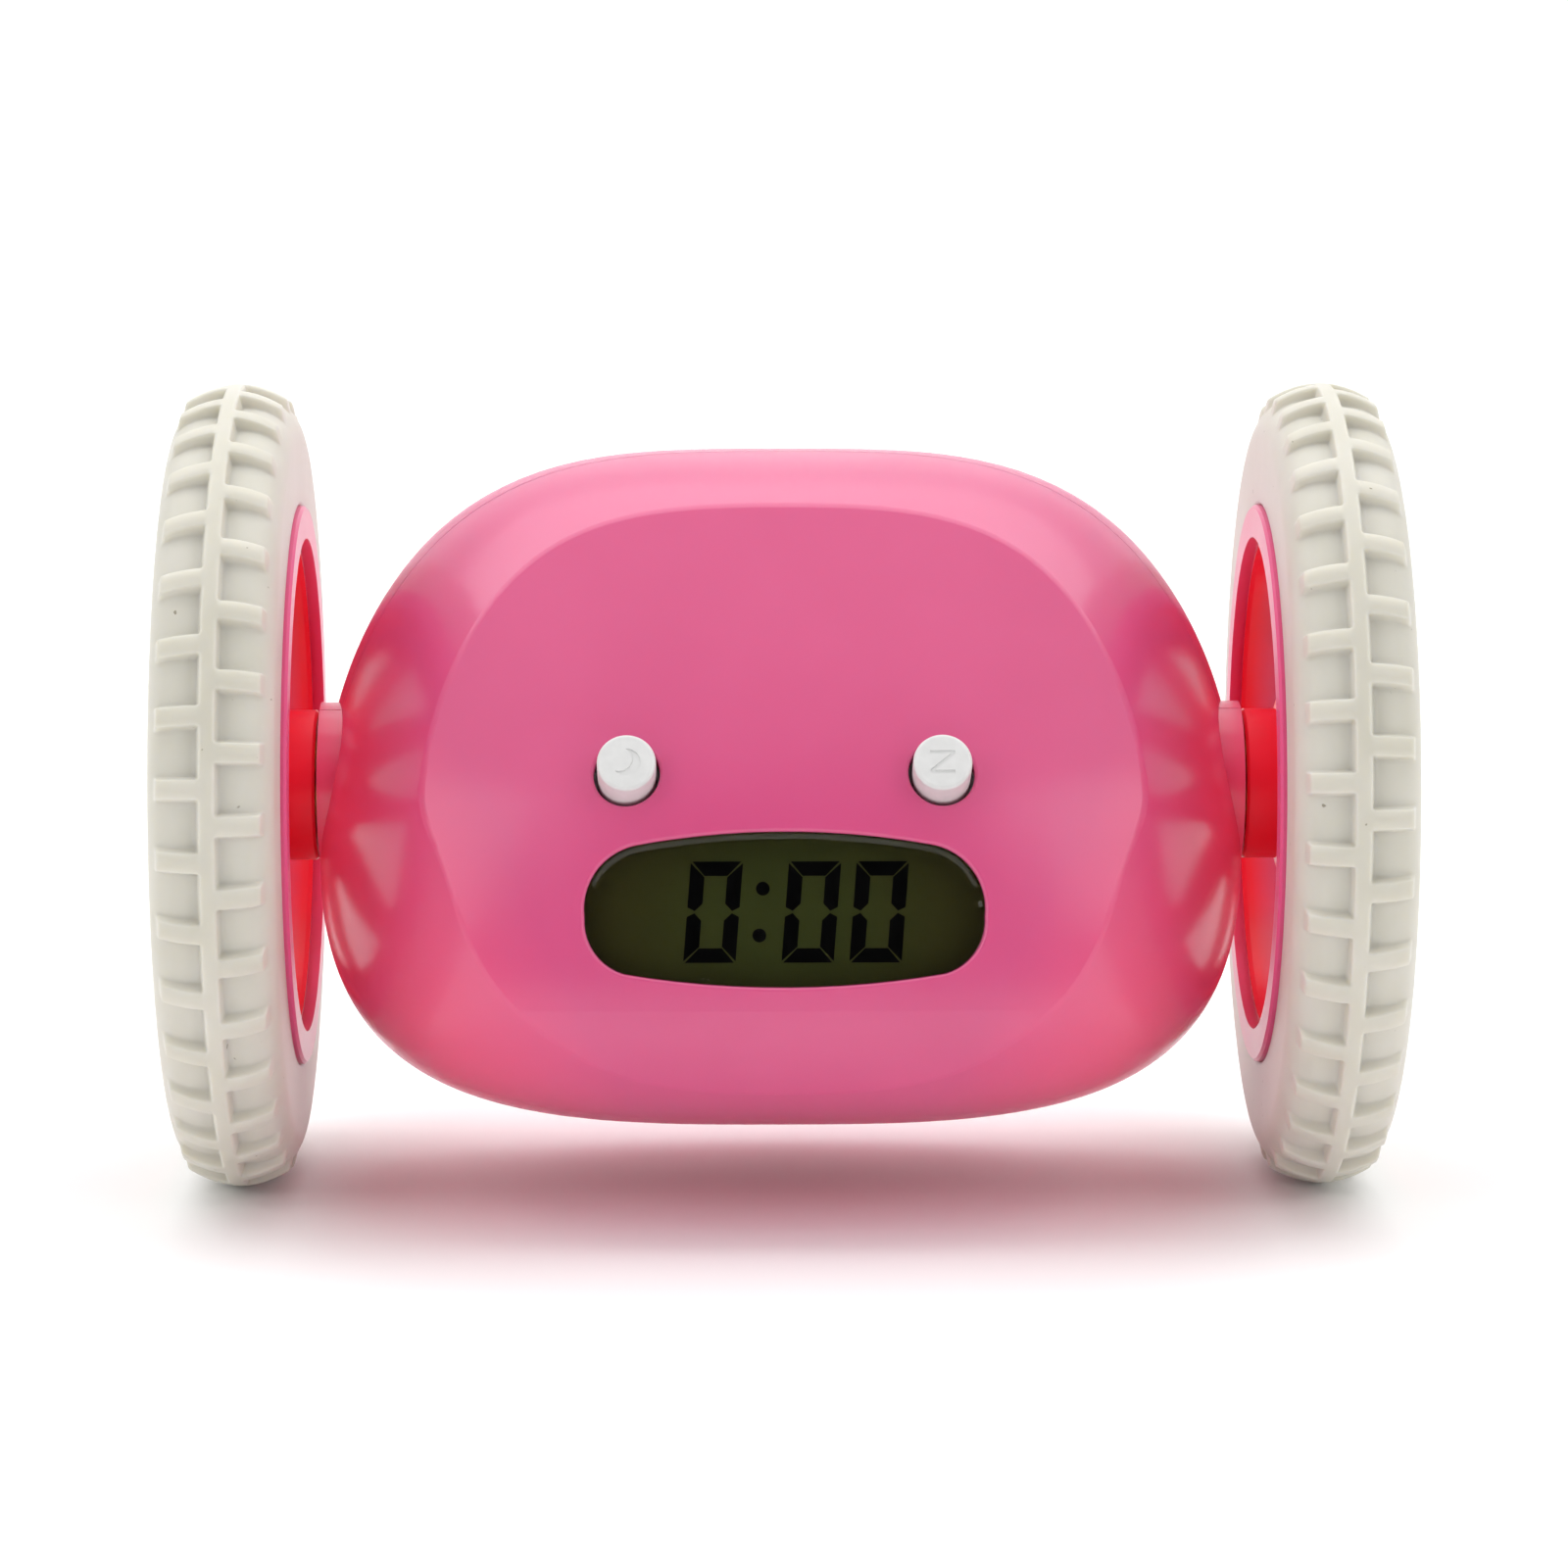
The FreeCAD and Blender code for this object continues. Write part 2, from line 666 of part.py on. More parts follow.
# ---- speaker and setting keys ----
seat_y = BACK_Y - BACK_R + math.sqrt((BACK_R - WALL) ** 2 - (SPEAKER_R + SPEAKER_Z) ** 2)
speaker_can = fuse([
    cyl_y(SPEAKER_R, seat_y - 2.4, seat_y - 0.1, 0, SPEAKER_Z),
    cyl_y(9.5, seat_y - 4.4, seat_y - 2.4, 0, SPEAKER_Z),
])
cone_space = Part.makeCone(5.0, SPEAKER_R - 1.2, 2.0, V(0, seat_y - 2.0, SPEAKER_Z), V(0, 1, 0))
save("speaker", speaker_can.cut(cone_space))
magnet = cyl_y(7.5, seat_y - 7.4, seat_y - 4.4, 0, SPEAKER_Z)
save("speaker_magnet", magnet)

KEY_FLANGE_Y = 26.5
KEY_TRAVEL = 0.5
keys = []
for kz in KEY_ZS:
    proud_y = BACK_Y - BACK_R + math.sqrt(BACK_R ** 2 - KEY_X ** 2 - kz ** 2) + 1.2
    keys.append(fuse([
        cyl_y(KEY_R, KEY_FLANGE_Y, proud_y, KEY_X, kz),
        cyl_y(KEY_R + 0.8, KEY_FLANGE_Y, KEY_FLANGE_Y + 0.7, KEY_X, kz),
    ]))
for name, key in zip(("hour_key", "minute_key", "snooze_key"), keys):
    save(name, key)
for name, key in zip(("time_key", "alarm_key", "run_key"), keys):
    save(name, key, -1)
key_switches = []
for kz in KEY_ZS:
    key_switches += both_sides(fuse([
        box(KEY_X - 2.2, KEY_X + 2.2, KEY_BOARD_Y, KEY_FLANGE_Y - 0.1 - KEY_TRAVEL, kz - 2.2, kz + 2.2),
        cyl_y(1.0, KEY_BOARD_Y + 1, KEY_FLANGE_Y - 0.05 - KEY_TRAVEL, KEY_X, kz),
    ]))
save("key_switches", Part.makeCompound(key_switches))
key_board = box(KEY_X - 3.4, KEY_X + 3.4, KEY_BOARD_Y - PCB_T, KEY_BOARD_Y,
                KEY_ZS[-1] - 7.2, KEY_ZS[0] + 7.2)
save("key_boards", Part.makeCompound(both_sides(key_board)))

# ---- battery tray, cells, contacts ----


def ring_sector(r0, r1, x0, x1, a0, a1):
    """Sector of a ring about the axle; angles from straight down, + to the back."""
    p = [V(x0, r * math.sin(math.radians(a)), -r * math.cos(math.radians(a)))
         for r, a in ((r0, a0), (r1, a0), (r1, (a0 + a1) / 2), (r1, a1), (r0, a1), (r0, (a0 + a1) / 2))]
    edges = [line(p[0], p[1]), arc(p[1], p[2], p[3]), line(p[3], p[4]), arc(p[4], p[5], p[0])]
    return Part.Face(Part.Wire(edges)).extrude(V(x1 - x0, 0, 0))


TRAY_A0 = CELL_ANGLES[0] - 12.0
TRAY_A1 = CELL_ANGLES[-1] + 12.0
cradle = ring_sector(CELL_ARC - 6.6, CELL_ARC - 0.5, -TRAY_END_X, TRAY_END_X, TRAY_A0, TRAY_A1)
bays = [cyl_x(CELL_R + FIT, -TRAY_X, TRAY_X, y, z) for y, z in CELL_SPOTS]
ends = both_sides(ring_sector(CELL_ARC - 6.6, CELL_ARC + 5.0, TRAY_X, TRAY_END_X, TRAY_A0, TRAY_A1))
tray = largest(fuse([cut(cradle, bays)] + ends))
save("battery_tray", largest(tray.common(case_form(WALL + 0.3))))

SPRING_L = 2 * CELL_END_X - CELL_L
SPRING_T = 0.3
SPRING_W = 5.0
SPRING_TALL = 6.4
cell = fuse([
    cyl_x(CELL_R, -CELL_END_X + SPRING_L, CELL_END_X - CELL_NUB),
    cyl_x(CELL_NUB_R, CELL_END_X - CELL_NUB - 0.1, CELL_END_X),
])


def leaf_spring():
    """A bent strip: a foot on the contact plate and a tongue that bows to the cell."""
    foot = -CELL_END_X
    tip = foot + SPRING_L - 0.05
    half = SPRING_TALL / 2
    path = [(foot, -half), (foot, -half + 1.2), (tip - SPRING_T, 0.4), (tip - SPRING_T, 1.6),
            (foot + 1.2, half)]
    back = [(x + SPRING_T, z) for x, z in reversed(path)]
    corners = [V(x, -SPRING_W / 2, z) for x, z in path + back]
    return Part.Face(Part.makePolygon(corners + corners[:1])).extrude(V(0, SPRING_W, 0))


cells = []
springs = []
plates = []
for i, (cy, cz) in enumerate(CELL_SPOTS):
    flip = -1 if i % 2 else 1
    one = moved(cell, 0, cy, cz)
    cells.append(one if flip > 0 else mirror_x(one))
    spring = moved(leaf_spring(), 0, cy, cz)
    springs.append(spring if flip > 0 else mirror_x(spring))
    plate = cyl_x(4.2, -TRAY_X, -CELL_END_X, cy, cz)
    plates += both_sides(plate)
save("battery_cells", Part.makeCompound(cells))
save("battery_springs", Part.makeCompound(springs))
save("battery_contacts", Part.makeCompound(plates))

# ---- drive, one per side ----
plate_spots = [(0.0, 0.0, 5.5), (IDLER_Y, IDLER_Z, 4.0), (MOTOR_Y, MOTOR_Z, 10.2)]


def strap(x0, x1, y0, z0, y1, z1, half):
    """A straight bar in the YZ plane between two points."""
    length = math.hypot(y1 - y0, z1 - z0)
    bar = box(x0, x1, 0, length, -half, half)
    bar = spin_x(bar, math.degrees(math.atan2(z1 - z0, y1 - y0)))
    return moved(bar, 0, y0, z0)


def frame_plate(x0, spots):
    x1 = x0 + PLATE_T
    parts = [cyl_x(r, x0, x1, y, z) for y, z, r in spots]
    for (y0, z0, r0), (y1, z1, r1) in zip(spots, spots[1:]):
        parts.append(strap(x0, x1, y0, z0, y1, z1, min(r0, r1)))
    return parts


PILLARS = ((-9.0, 9.6), (11.5, -6.0))
frame_parts = frame_plate(PLATE_IN_X, plate_spots)
frame_parts += frame_plate(PLATE_OUT_X, plate_spots[:2])
for py, pz in PILLARS:
    frame_parts.append(cyl_x(1.6, PLATE_IN_X, PLATE_OUT_X + PLATE_T, py, pz))
    for px in (PLATE_IN_X, PLATE_OUT_X):
        frame_parts.append(strap(px, px + PLATE_T, 0, 0, py, pz, 1.6))
for ez in EAR_ZS:
    frame_parts.append(box(EAR_X - 2.4, PLATE_IN_X + PLATE_T, EAR_Y, EAR_Y + PLATE_T, ez - 2.4, ez + 2.4))
frame_parts.append(box(PLATE_IN_X, PLATE_IN_X + PLATE_T, 6.0, EAR_Y + PLATE_T,
                       EAR_ZS[0] - 2.4, EAR_ZS[0] + 2.4))
frame_parts.append(box(PLATE_IN_X, PLATE_IN_X + PLATE_T, 4.0, EAR_Y + PLATE_T,
                       EAR_ZS[1] - 2.4, EAR_ZS[1] + 2.4))
IDLER_PIN_R = 1.0
frame_cuts = [cyl_x(AXLE_R + RUN, 20, 45), cyl_x(3.0, 20, PLATE_IN_X + 5, MOTOR_Y, MOTOR_Z)]
frame_cuts += [cyl_x(IDLER_PIN_R, 20, 45, IDLER_Y, IDLER_Z)]
frame_cuts += [cyl_y(0.9, EAR_Y - 1, EAR_Y + 4, EAR_X, ez) for ez in EAR_ZS]
save_pair("gear_frame", largest(cut(fuse(frame_parts), frame_cuts)))

idler_pin = cyl_x(IDLER_PIN_R, PLATE_IN_X, PLATE_OUT_X + PLATE_T, IDLER_Y, IDLER_Z)
save_pair("idler_pin", idler_pin)

ear_screws = []
for ez in EAR_ZS:
    one = spin_x(small_screw(FRAME_SCREW_L), 180)
    ear_screws += both_sides(moved(one, EAR_X, EAR_Y, ez))
save("frame_screws", Part.makeCompound(ear_screws))

motor = fuse([
    cyl_x(MOTOR_R, PLATE_IN_X - MOTOR_L, PLATE_IN_X, MOTOR_Y, MOTOR_Z),
    cyl_x(3.0, PLATE_IN_X - MOTOR_L - 1.5, PLATE_IN_X + 1.2, MOTOR_Y, MOTOR_Z),
])
shaft_bore = cyl_x(1.0 + RUN, PLATE_IN_X - 4, 45, MOTOR_Y, MOTOR_Z)
save_pair("motor", motor.cut(shaft_bore))
motor_shaft = cyl_x(1.0, PLATE_IN_X - 3.8, PINION_X + IDLER_W, MOTOR_Y, MOTOR_Z)
save_pair("motor_shaft", motor_shaft)


def gear(teeth, x0, x1, y, z, phase, addendum=1.0):
    """Involute spur gear; phase is the direction of one tooth in the YZ plane."""
    pitch = GEAR_M * teeth / 2
    base = pitch * math.cos(math.radians(20))
    tip = pitch + addendum * GEAR_M
    root = pitch - 1.25 * GEAR_M
    start = max(base, root)

    def half_angle(r):
        press = math.acos(min(1.0, base / r))
        inv_r = math.tan(press) - press
        inv_p = math.tan(math.radians(20)) - math.radians(20)
        thick = math.pi * GEAR_M / 2 - GEAR_BACKLASH
        return thick / (2 * pitch) + inv_p - inv_r

    radii = [start + (tip - start) * i / 3 for i in range(4)]
    flank = [(r, half_angle(r)) for r in radii]
    if root < start:
        flank.insert(0, (root, flank[0][1]))
    points = []
    for t in range(teeth):
        mid = math.radians(phase) + 2 * math.pi * t / teeth
        for r, a in flank:
            points.append(V(x0, y + r * math.cos(mid - a), z + r * math.sin(mid - a)))
        for r, a in reversed(flank):
            points.append(V(x0, y + r * math.cos(mid + a), z + r * math.sin(mid + a)))
    wire = Part.makePolygon(points + [points[0]])
    return Part.Face(wire).extrude(V(x1 - x0, 0, 0))


# A tooth of each driven gear points at its driver, which shows it a space.
output_gear = gear(WHEEL_T, OUTPUT_X, OUTPUT_X + OUTPUT_W, 0, 0, IDLER_ANGLE, 0.8)
output_boss = cyl_x(4.0, PLATE_IN_X + PLATE_T + 0.3, IDLER_X - 0.3)
axle_bore = cyl_x(AXLE_R, 20, 80)
save_pair("output_gear", fuse([output_gear, output_boss]).cut(axle_bore))

half_space = 180.0 / PINION_T
idler_small = gear(PINION_T, OUTPUT_X - 0.6, OUTPUT_X + OUTPUT_W + 0.4, IDLER_Y, IDLER_Z,
                   IDLER_ANGLE + 180 + half_space)
idler_big = gear(WHEEL_T, IDLER_X, IDLER_X + IDLER_W, IDLER_Y, IDLER_Z, MOTOR_ANGLE, 0.8)
idler_web = cyl_x(4.4, OUTPUT_X + OUTPUT_W + 0.4, IDLER_X, IDLER_Y, IDLER_Z)
idler_bore = cyl_x(IDLER_PIN_R + RUN, 20, 50, IDLER_Y, IDLER_Z)
idler = fuse([idler_small, idler_web, idler_big]).cut(idler_bore)
save_pair("idler_gear", idler)

pinion = gear(PINION_T, PINION_X - 0.4, PINION_X + IDLER_W + 0.4, MOTOR_Y, MOTOR_Z,
              MOTOR_ANGLE + 180 + half_space)
save_pair("motor_pinion", pinion.cut(cyl_x(1.0, 20, 50, MOTOR_Y, MOTOR_Z)))

# ---- wheel: axle, bush, rim, tyre, screw, cap ----
AXLE_END_X = 60.0
axle = cyl_x(AXLE_R, PLATE_IN_X - 0.5, AXLE_END_X)
axle = axle.cut(cyl_x(1.0, AXLE_END_X - 7.0, AXLE_END_X + 1))
save_pair("axle", axle)
bush = fuse([cyl_x(BUSH_R, 42.0, COLLAR_X + 0.2), cyl_x(5.8, COLLAR_X, COLLAR_X + 0.3)])
save_pair("bush", bush.cut(cyl_x(AXLE_R + RUN, 20, 80)))

BARREL_OUT_X = TYRE_OUT_X - 2.0
rim_band = lathe_x([
    (FLANGE_X, FLANGE_R), (FLANGE_X, RIM_R - 0.3), (FLANGE_X + 0.3, RIM_R),
    (BARREL_OUT_X - 0.3, RIM_R), (BARREL_OUT_X, RIM_R - 0.3), (BARREL_OUT_X, 28.6),
    (TYRE_IN_X + 1.2, BARREL_R), (TYRE_IN_X + 0.7, BARREL_R), (TYRE_IN_X + 0.7, FLANGE_R),
])
hub = lathe_x([
    (HUB_IN_X, AXLE_R), (HUB_IN_X, HUB_R - 0.3), (HUB_IN_X + 0.3, HUB_R), (63.2, HUB_R),
    (63.5, HUB_R - 0.3), (63.5, 5.2), (61.0, 5.2), (61.0, 1.1), (AXLE_END_X, 1.1),
    (AXLE_END_X, AXLE_R),
])
dish = lathe_x([(55.0, HUB_R - 0.5), (61.0, RIM_R - 3.0), (61.0 + SPOKE_T, RIM_R - 3.0),
                (55.0 + SPOKE_T, HUB_R - 0.5)])
holes = []
for i in range(SPOKES):
    a0 = 360.0 / SPOKES * i
    r0 = HUB_R + 3.0
    r1 = BARREL_R - 1.6
    half0 = 180.0 / SPOKES - math.degrees(math.asin(SPOKE_W / 2 / r0))
    half1 = 180.0 / SPOKES - math.degrees(math.asin(SPOKE_W / 2 / r1))
    half0 = max(half0, 5.0)
    mid = a0 + 180.0 / SPOKES

    def at(r, a):
        y, z = polar(r, a)
        return V(50, y, z)

    edges = [
        line(at(r0, mid - half0), at(r1, mid - half1)),
        arc(at(r1, mid - half1), at(r1, mid), at(r1, mid + half1)),
        line(at(r1, mid + half1), at(r0, mid + half0)),
        arc(at(r0, mid + half0), at(r0, mid), at(r0, mid - half0)),
    ]
    prism = Part.Face(Part.Wire(edges)).extrude(V(20, 0, 0))
    upright = [e for e in prism.Edges if e.BoundBox.XLength > 19]
    holes.append(prism.makeFillet(0.9, upright))
rim = fuse([rim_band, hub, cut(dish, holes)])
save_pair("rim", largest(rim))

crown_r = WHEEL_DIA / 2
floor_r = crown_r - LUG_DEPTH
mid_x = (TYRE_IN_X + TYRE_OUT_X) / 2
tyre_half = (TYRE_OUT_X - TYRE_IN_X) / 2
lug_x = RIB_W / 2 + LUG_SPAN


def in_section(u, r):
    """A point of the tyre's section, u along the axle from its middle."""
    return V(mid_x + u, 0, r)


def turned(edges):
    return Part.Face(Part.Wire(edges)).revolve(V(0, 0, 0), V(1, 0, 0), 360)


def carcass_side(sign):
    tread_u = 0.64 * tyre_half
    low = in_section(sign * tyre_half, SHOULDER_R)
    high = in_section(sign * tread_u, floor_r - SHOULDER_DROP)
    return [
        line(in_section(sign * tyre_half, RIM_R), low),
        arc(low, in_section(sign * 0.9 * tyre_half, floor_r - 2.15), high),
        arc(high, in_section(sign * tread_u / 2, floor_r - SHOULDER_DROP / 4),
            in_section(0, floor_r)),
    ]


carcass = turned(Part.__sortEdges__(
    carcass_side(-1) + carcass_side(1)
    + [line(in_section(-tyre_half, RIM_R), in_section(tyre_half, RIM_R))]))
crown_edge = crown_r - CROWN_DROP
crown = turned([
    arc(in_section(-lug_x, crown_edge), in_section(0, crown_r), in_section(lug_x, crown_edge)),
    line(in_section(lug_x, crown_edge), in_section(lug_x, 40.0)),
    line(in_section(lug_x, 40.0), in_section(-lug_x, 40.0)),
    line(in_section(-lug_x, 40.0), in_section(-lug_x, crown_edge)),
])


def lug_ring(x0, x1, offset):
    """One column of lugs: a ring whose outside steps between lug and pocket."""
    root = floor_r - 1.9
    edges = []
    half_top = math.degrees(math.asin(LUG_LAND / 2 / crown_r))
    half_low = math.degrees(math.asin(LUG_LAND / 2 / root))
    pitch = 360.0 / LUGS

    def at(r, a):
        y, z = polar(r, a)
        return V(x0, y, z)

    for i in range(LUGS):
        a = pitch * (i + offset)
        low = a - half_low
        high = a + half_low
        nxt = a + pitch - half_low
        edges.append(line(at(root, low), at(crown_r, a - half_top)))
        edges.append(arc(at(crown_r, a - half_top), at(crown_r, a), at(crown_r, a + half_top)))
        edges.append(line(at(crown_r, a + half_top), at(root, high)))
        edges.append(arc(at(root, high), at(root, (high + nxt) / 2), at(root, nxt)))
    outline = Part.Face(Part.Wire(edges))
    disc = outline.extrude(V(x1 - x0, 0, 0))
    return disc.cut(cyl_x(root - 0.3, x0 - 1, x1 + 1))


tread = fuse([
    cyl_x(crown_r, mid_x - RIB_W / 2, mid_x + RIB_W / 2).cut(cyl_x(floor_r - 1.8, 40, 80)),
    lug_ring(mid_x - lug_x, mid_x, 0.0),
    lug_ring(mid_x, mid_x + lug_x, 0.5),
])
tyre = fuse([carcass, tread.common(crown)])
tyre = largest(tyre)
save("tyre_right", tyre)
save("tyre_left", spin_x(tyre, LUG_TURN_LEFT), -1)

wheel_screw = fuse([cyl_x(1.0, AXLE_END_X - 6.0, 61.1), cyl_x(3.2, 61.0, 62.6)])
slot = [box(62.0, 63, -2.2, 2.2, -0.35, 0.35), box(62.0, 63, -0.35, 0.35, -2.2, 2.2)]
save_pair("wheel_screw", cut(wheel_screw, slot))
cap = fuse([cyl_x(5.2, 62.9, 63.6), cyl_x(6.6, 63.5, 64.8)])
cap = cap.makeFillet(0.8, [e for e in cap.Edges if e.BoundBox.XMin > 64.7])
save_pair("hub_cap", cap)
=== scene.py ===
# %% [markdown]
# # A runaway alarm clock
# The clock is a rounded case of glossy pink ABS hung between two big white
# silicone tyres.  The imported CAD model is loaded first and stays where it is:
# every node keeps its place, and some visible ones get a finer skin.

# %% Load the frame
import math

import bmesh
import bpy
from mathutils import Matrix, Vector


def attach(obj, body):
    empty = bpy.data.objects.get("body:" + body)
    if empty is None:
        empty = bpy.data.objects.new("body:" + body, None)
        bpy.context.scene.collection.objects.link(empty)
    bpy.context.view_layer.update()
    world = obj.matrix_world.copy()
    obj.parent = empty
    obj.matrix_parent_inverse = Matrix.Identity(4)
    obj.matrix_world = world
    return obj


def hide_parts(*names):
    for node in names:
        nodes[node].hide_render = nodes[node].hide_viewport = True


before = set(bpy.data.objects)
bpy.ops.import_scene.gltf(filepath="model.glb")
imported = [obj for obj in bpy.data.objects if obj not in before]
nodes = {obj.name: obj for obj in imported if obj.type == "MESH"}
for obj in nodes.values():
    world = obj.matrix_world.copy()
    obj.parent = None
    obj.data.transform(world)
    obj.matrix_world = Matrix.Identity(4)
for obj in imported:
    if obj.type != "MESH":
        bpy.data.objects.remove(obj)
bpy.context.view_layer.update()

# %% [markdown]
# ## Sizes
# The sizes that more than one piece needs, in metres, as the CAD model has them.
# The case leans back by a few degrees about the axle line.

# %% Sizes
MM = 0.001
AXLE = Vector((0.0, 0.0, 44.5 * MM))
CASE_TILT = math.radians(8.0)


def leaned(x, y, z):
    """A point of the upright case, in mm from the axle, as a place in the scene."""
    c, s = math.cos(CASE_TILT), math.sin(CASE_TILT)
    return Vector((x, y * c + z * s, -y * s + z * c)) * MM + AXLE


# %% [markdown]
# ## Camera
# A long lens stands a little above the axle and a hair to the left, so the two
# wheels look almost the same and their treads fill the sides.

# %% Camera
CAMERA_AZIMUTH = math.radians(-0.8)
CAMERA_ELEVATION = math.radians(8.0)
CAMERA_DISTANCE = 0.605
aim = Vector((0.0004, 0.0, 0.04505))
sight = Vector((math.sin(CAMERA_AZIMUTH) * math.cos(CAMERA_ELEVATION),
                -math.cos(CAMERA_AZIMUTH) * math.cos(CAMERA_ELEVATION),
                math.sin(CAMERA_ELEVATION)))
camera_data = bpy.data.cameras.new("camera")
camera_data.lens = 124.65
camera_data.sensor_width = 36.0
camera_data.clip_start = 0.01
camera = bpy.data.objects.new("camera", camera_data)
bpy.context.scene.collection.objects.link(camera)
camera.location = aim + sight * CAMERA_DISTANCE
camera.rotation_euler = (-sight).to_track_quat("-Z", "Y").to_euler()
bpy.context.scene.camera = camera
print("camera at", tuple(round(v, 4) for v in camera.location))

# %% [markdown]
# ## Colour and node helper
# Colours are written as they look on a screen and turned to linear light once.
# Node trees could be drawn by hand in the editor, but then they could not be
# read here, so one small function adds a node, sets it and links it.

# %% Colour and nodes


def linear(code):
    """Linear RGBA of a screen colour written as #RRGGBB."""
    screen = [int(code[i:i + 2], 16) / 255 for i in (1, 3, 5)]
    light = [v / 12.92 if v <= 0.04045 else ((v + 0.055) / 1.055) ** 2.4 for v in screen]
    return (*light, 1.0)


def add(tree, kind, links=(), values=None, ramp=None, **settings):
    """Add a node.  Settings are properties, or sockets by name with _ for a
    space; values are sockets by number; ramp is the two stops of a colour ramp."""
    node = tree.nodes.new(kind)
    for key, value in settings.items():
        match = [s for s in node.inputs if s.name.lower() == key.replace("_", " ").lower()]
        if match:
            match[0].default_value = value
        else:
            setattr(node, key, value)
    for number, value in (values or {}).items():
        node.inputs[number].default_value = value
    for stop, (place, code) in zip(node.color_ramp.elements if ramp else (), ramp or ()):
        stop.position = place
        stop.color = linear(code)
    for source, target in links:
        tree.links.new(source, node.inputs[target])
    return node


# %% [markdown]
# ## Pink plastic
# The case and the rims are ABS, injection moulded in a polished tool.  That gives
# the eye a gloss with a faint orange-peel ripple a few millimetres across, hardly
# any change of colour, and a gloss that drifts a little from place to place.
# A picture of plastic could be wrapped round the case, but noise in real
# millimetres needs no seams, so each finish is a few noises on object coordinates.
# Red light also goes a little way into the plastic, so the pinks scatter it inside.

# %% Moulded plastic
MM_SCALE = 1000.0
DRIFT_MM = 14.0
DRIFT = 0.015


def moulded_plastic(name, low, high, peel_mm, peel_depth, gloss, **settings):
    """Moulded plastic: colour between low and high, a ripple, and a drifting gloss."""
    material = bpy.data.materials.new(name)
    material.use_nodes = True
    tree = material.node_tree
    tree.nodes.clear()
    place = add(tree, "ShaderNodeTexCoord").outputs["Object"]
    drift = add(tree, "ShaderNodeTexNoise", [(place, "Vector")],
                Scale=MM_SCALE / (2.5 * peel_mm), Detail=2.0)
    colour = add(tree, "ShaderNodeValToRGB", [(drift.outputs["Fac"], "Fac")],
                 ramp=[(0.35, low), (0.65, high)])
    peel = add(tree, "ShaderNodeTexNoise", [(place, "Vector")],
               Scale=MM_SCALE / peel_mm, Detail=2.0)
    ripple = add(tree, "ShaderNodeBump", [(peel.outputs["Fac"], "Height")],
                 Strength=0.5, Distance=peel_depth * MM)
    patch = add(tree, "ShaderNodeTexNoise", [(place, "Vector")],
                Scale=MM_SCALE / DRIFT_MM, Detail=2.0)
    sheen = add(tree, "ShaderNodeMapRange", [(patch.outputs["Fac"], "Value")],
                From_Min=0.3, From_Max=0.7, To_Min=gloss - DRIFT, To_Max=gloss + DRIFT)
    shader = add(tree, "ShaderNodeBsdfPrincipled",
                 [(colour.outputs["Color"], "Base Color"), (ripple.outputs["Normal"], "Normal"),
                  (sheen.outputs["Result"], "Roughness")], **settings)
    add(tree, "ShaderNodeOutputMaterial", [(shader.outputs[0], "Surface")])
    return material


PINK_ABS = {"IOR": 1.52, "Subsurface_Weight": 0.3, "Subsurface_Scale": 2.5 * MM,
            "Subsurface_Radius": (1.0, 0.2, 0.25)}
case_pink = moulded_plastic("moulded_pink_abs", "#D55385", "#D85688", 7.0, 0.005, 0.25,
                            Coat_Weight=0.2, Coat_Roughness=0.14, **PINK_ABS)
print("finish:", case_pink.name, len(case_pink.node_tree.nodes), "nodes")

# %% [markdown]
# The ends and the underside look redder than the face, because they face the rims
# and lie in the shade of the shoulders.  That shade and the red light bounced from
# the rims are painted into the colour: a redder pink is mixed in by the distance
# from the middle, later on the way up and sooner on the way down.

# %% Painted shade and bounce on the ends
END_SHADE_FROM = 31.0 * MM
END_SHADE_FULL = 50.0 * MM
RISE = 0.5
UNDER_SHADE_FROM = 13.0 * MM
UNDER_SHADE_FULL = 8.5 * MM
tree = case_pink.node_tree
shader = tree.nodes["Principled BSDF"]
face_pink = shader.inputs["Base Color"].links[0].from_socket
place = add(tree, "ShaderNodeTexCoord").outputs["Object"]
along = add(tree, "ShaderNodeSeparateXYZ", [(place, "Vector")])
outward = add(tree, "ShaderNodeMath", [(along.outputs["X"], 0)], operation="ABSOLUTE")
lowered = add(tree, "ShaderNodeMath", [(along.outputs["Z"], 0), (outward.outputs[0], 2)],
              {1: -RISE}, operation="MULTIPLY_ADD")
end_shade = add(tree, "ShaderNodeMapRange", [(lowered.outputs[0], "Value")],
          From_Min=END_SHADE_FROM - RISE * AXLE.z, From_Max=END_SHADE_FULL - RISE * AXLE.z)
under_shade = add(tree, "ShaderNodeMapRange", [(along.outputs["Z"], "Value")],
            From_Min=UNDER_SHADE_FROM, From_Max=UNDER_SHADE_FULL, To_Max=0.9)
painted_shade = add(tree, "ShaderNodeMath", [(end_shade.outputs["Result"], 0), (under_shade.outputs["Result"], 1)],
              operation="MAXIMUM")
# Painted shade and bounced red light: the ends and the underside are mixed towards a redder pink.
blend = add(tree, "ShaderNodeMixRGB", [(painted_shade.outputs[0], 0), (face_pink, 1)],
            {2: linear("#F25882")})
tree.links.new(blend.outputs["Color"], shader.inputs["Base Color"])
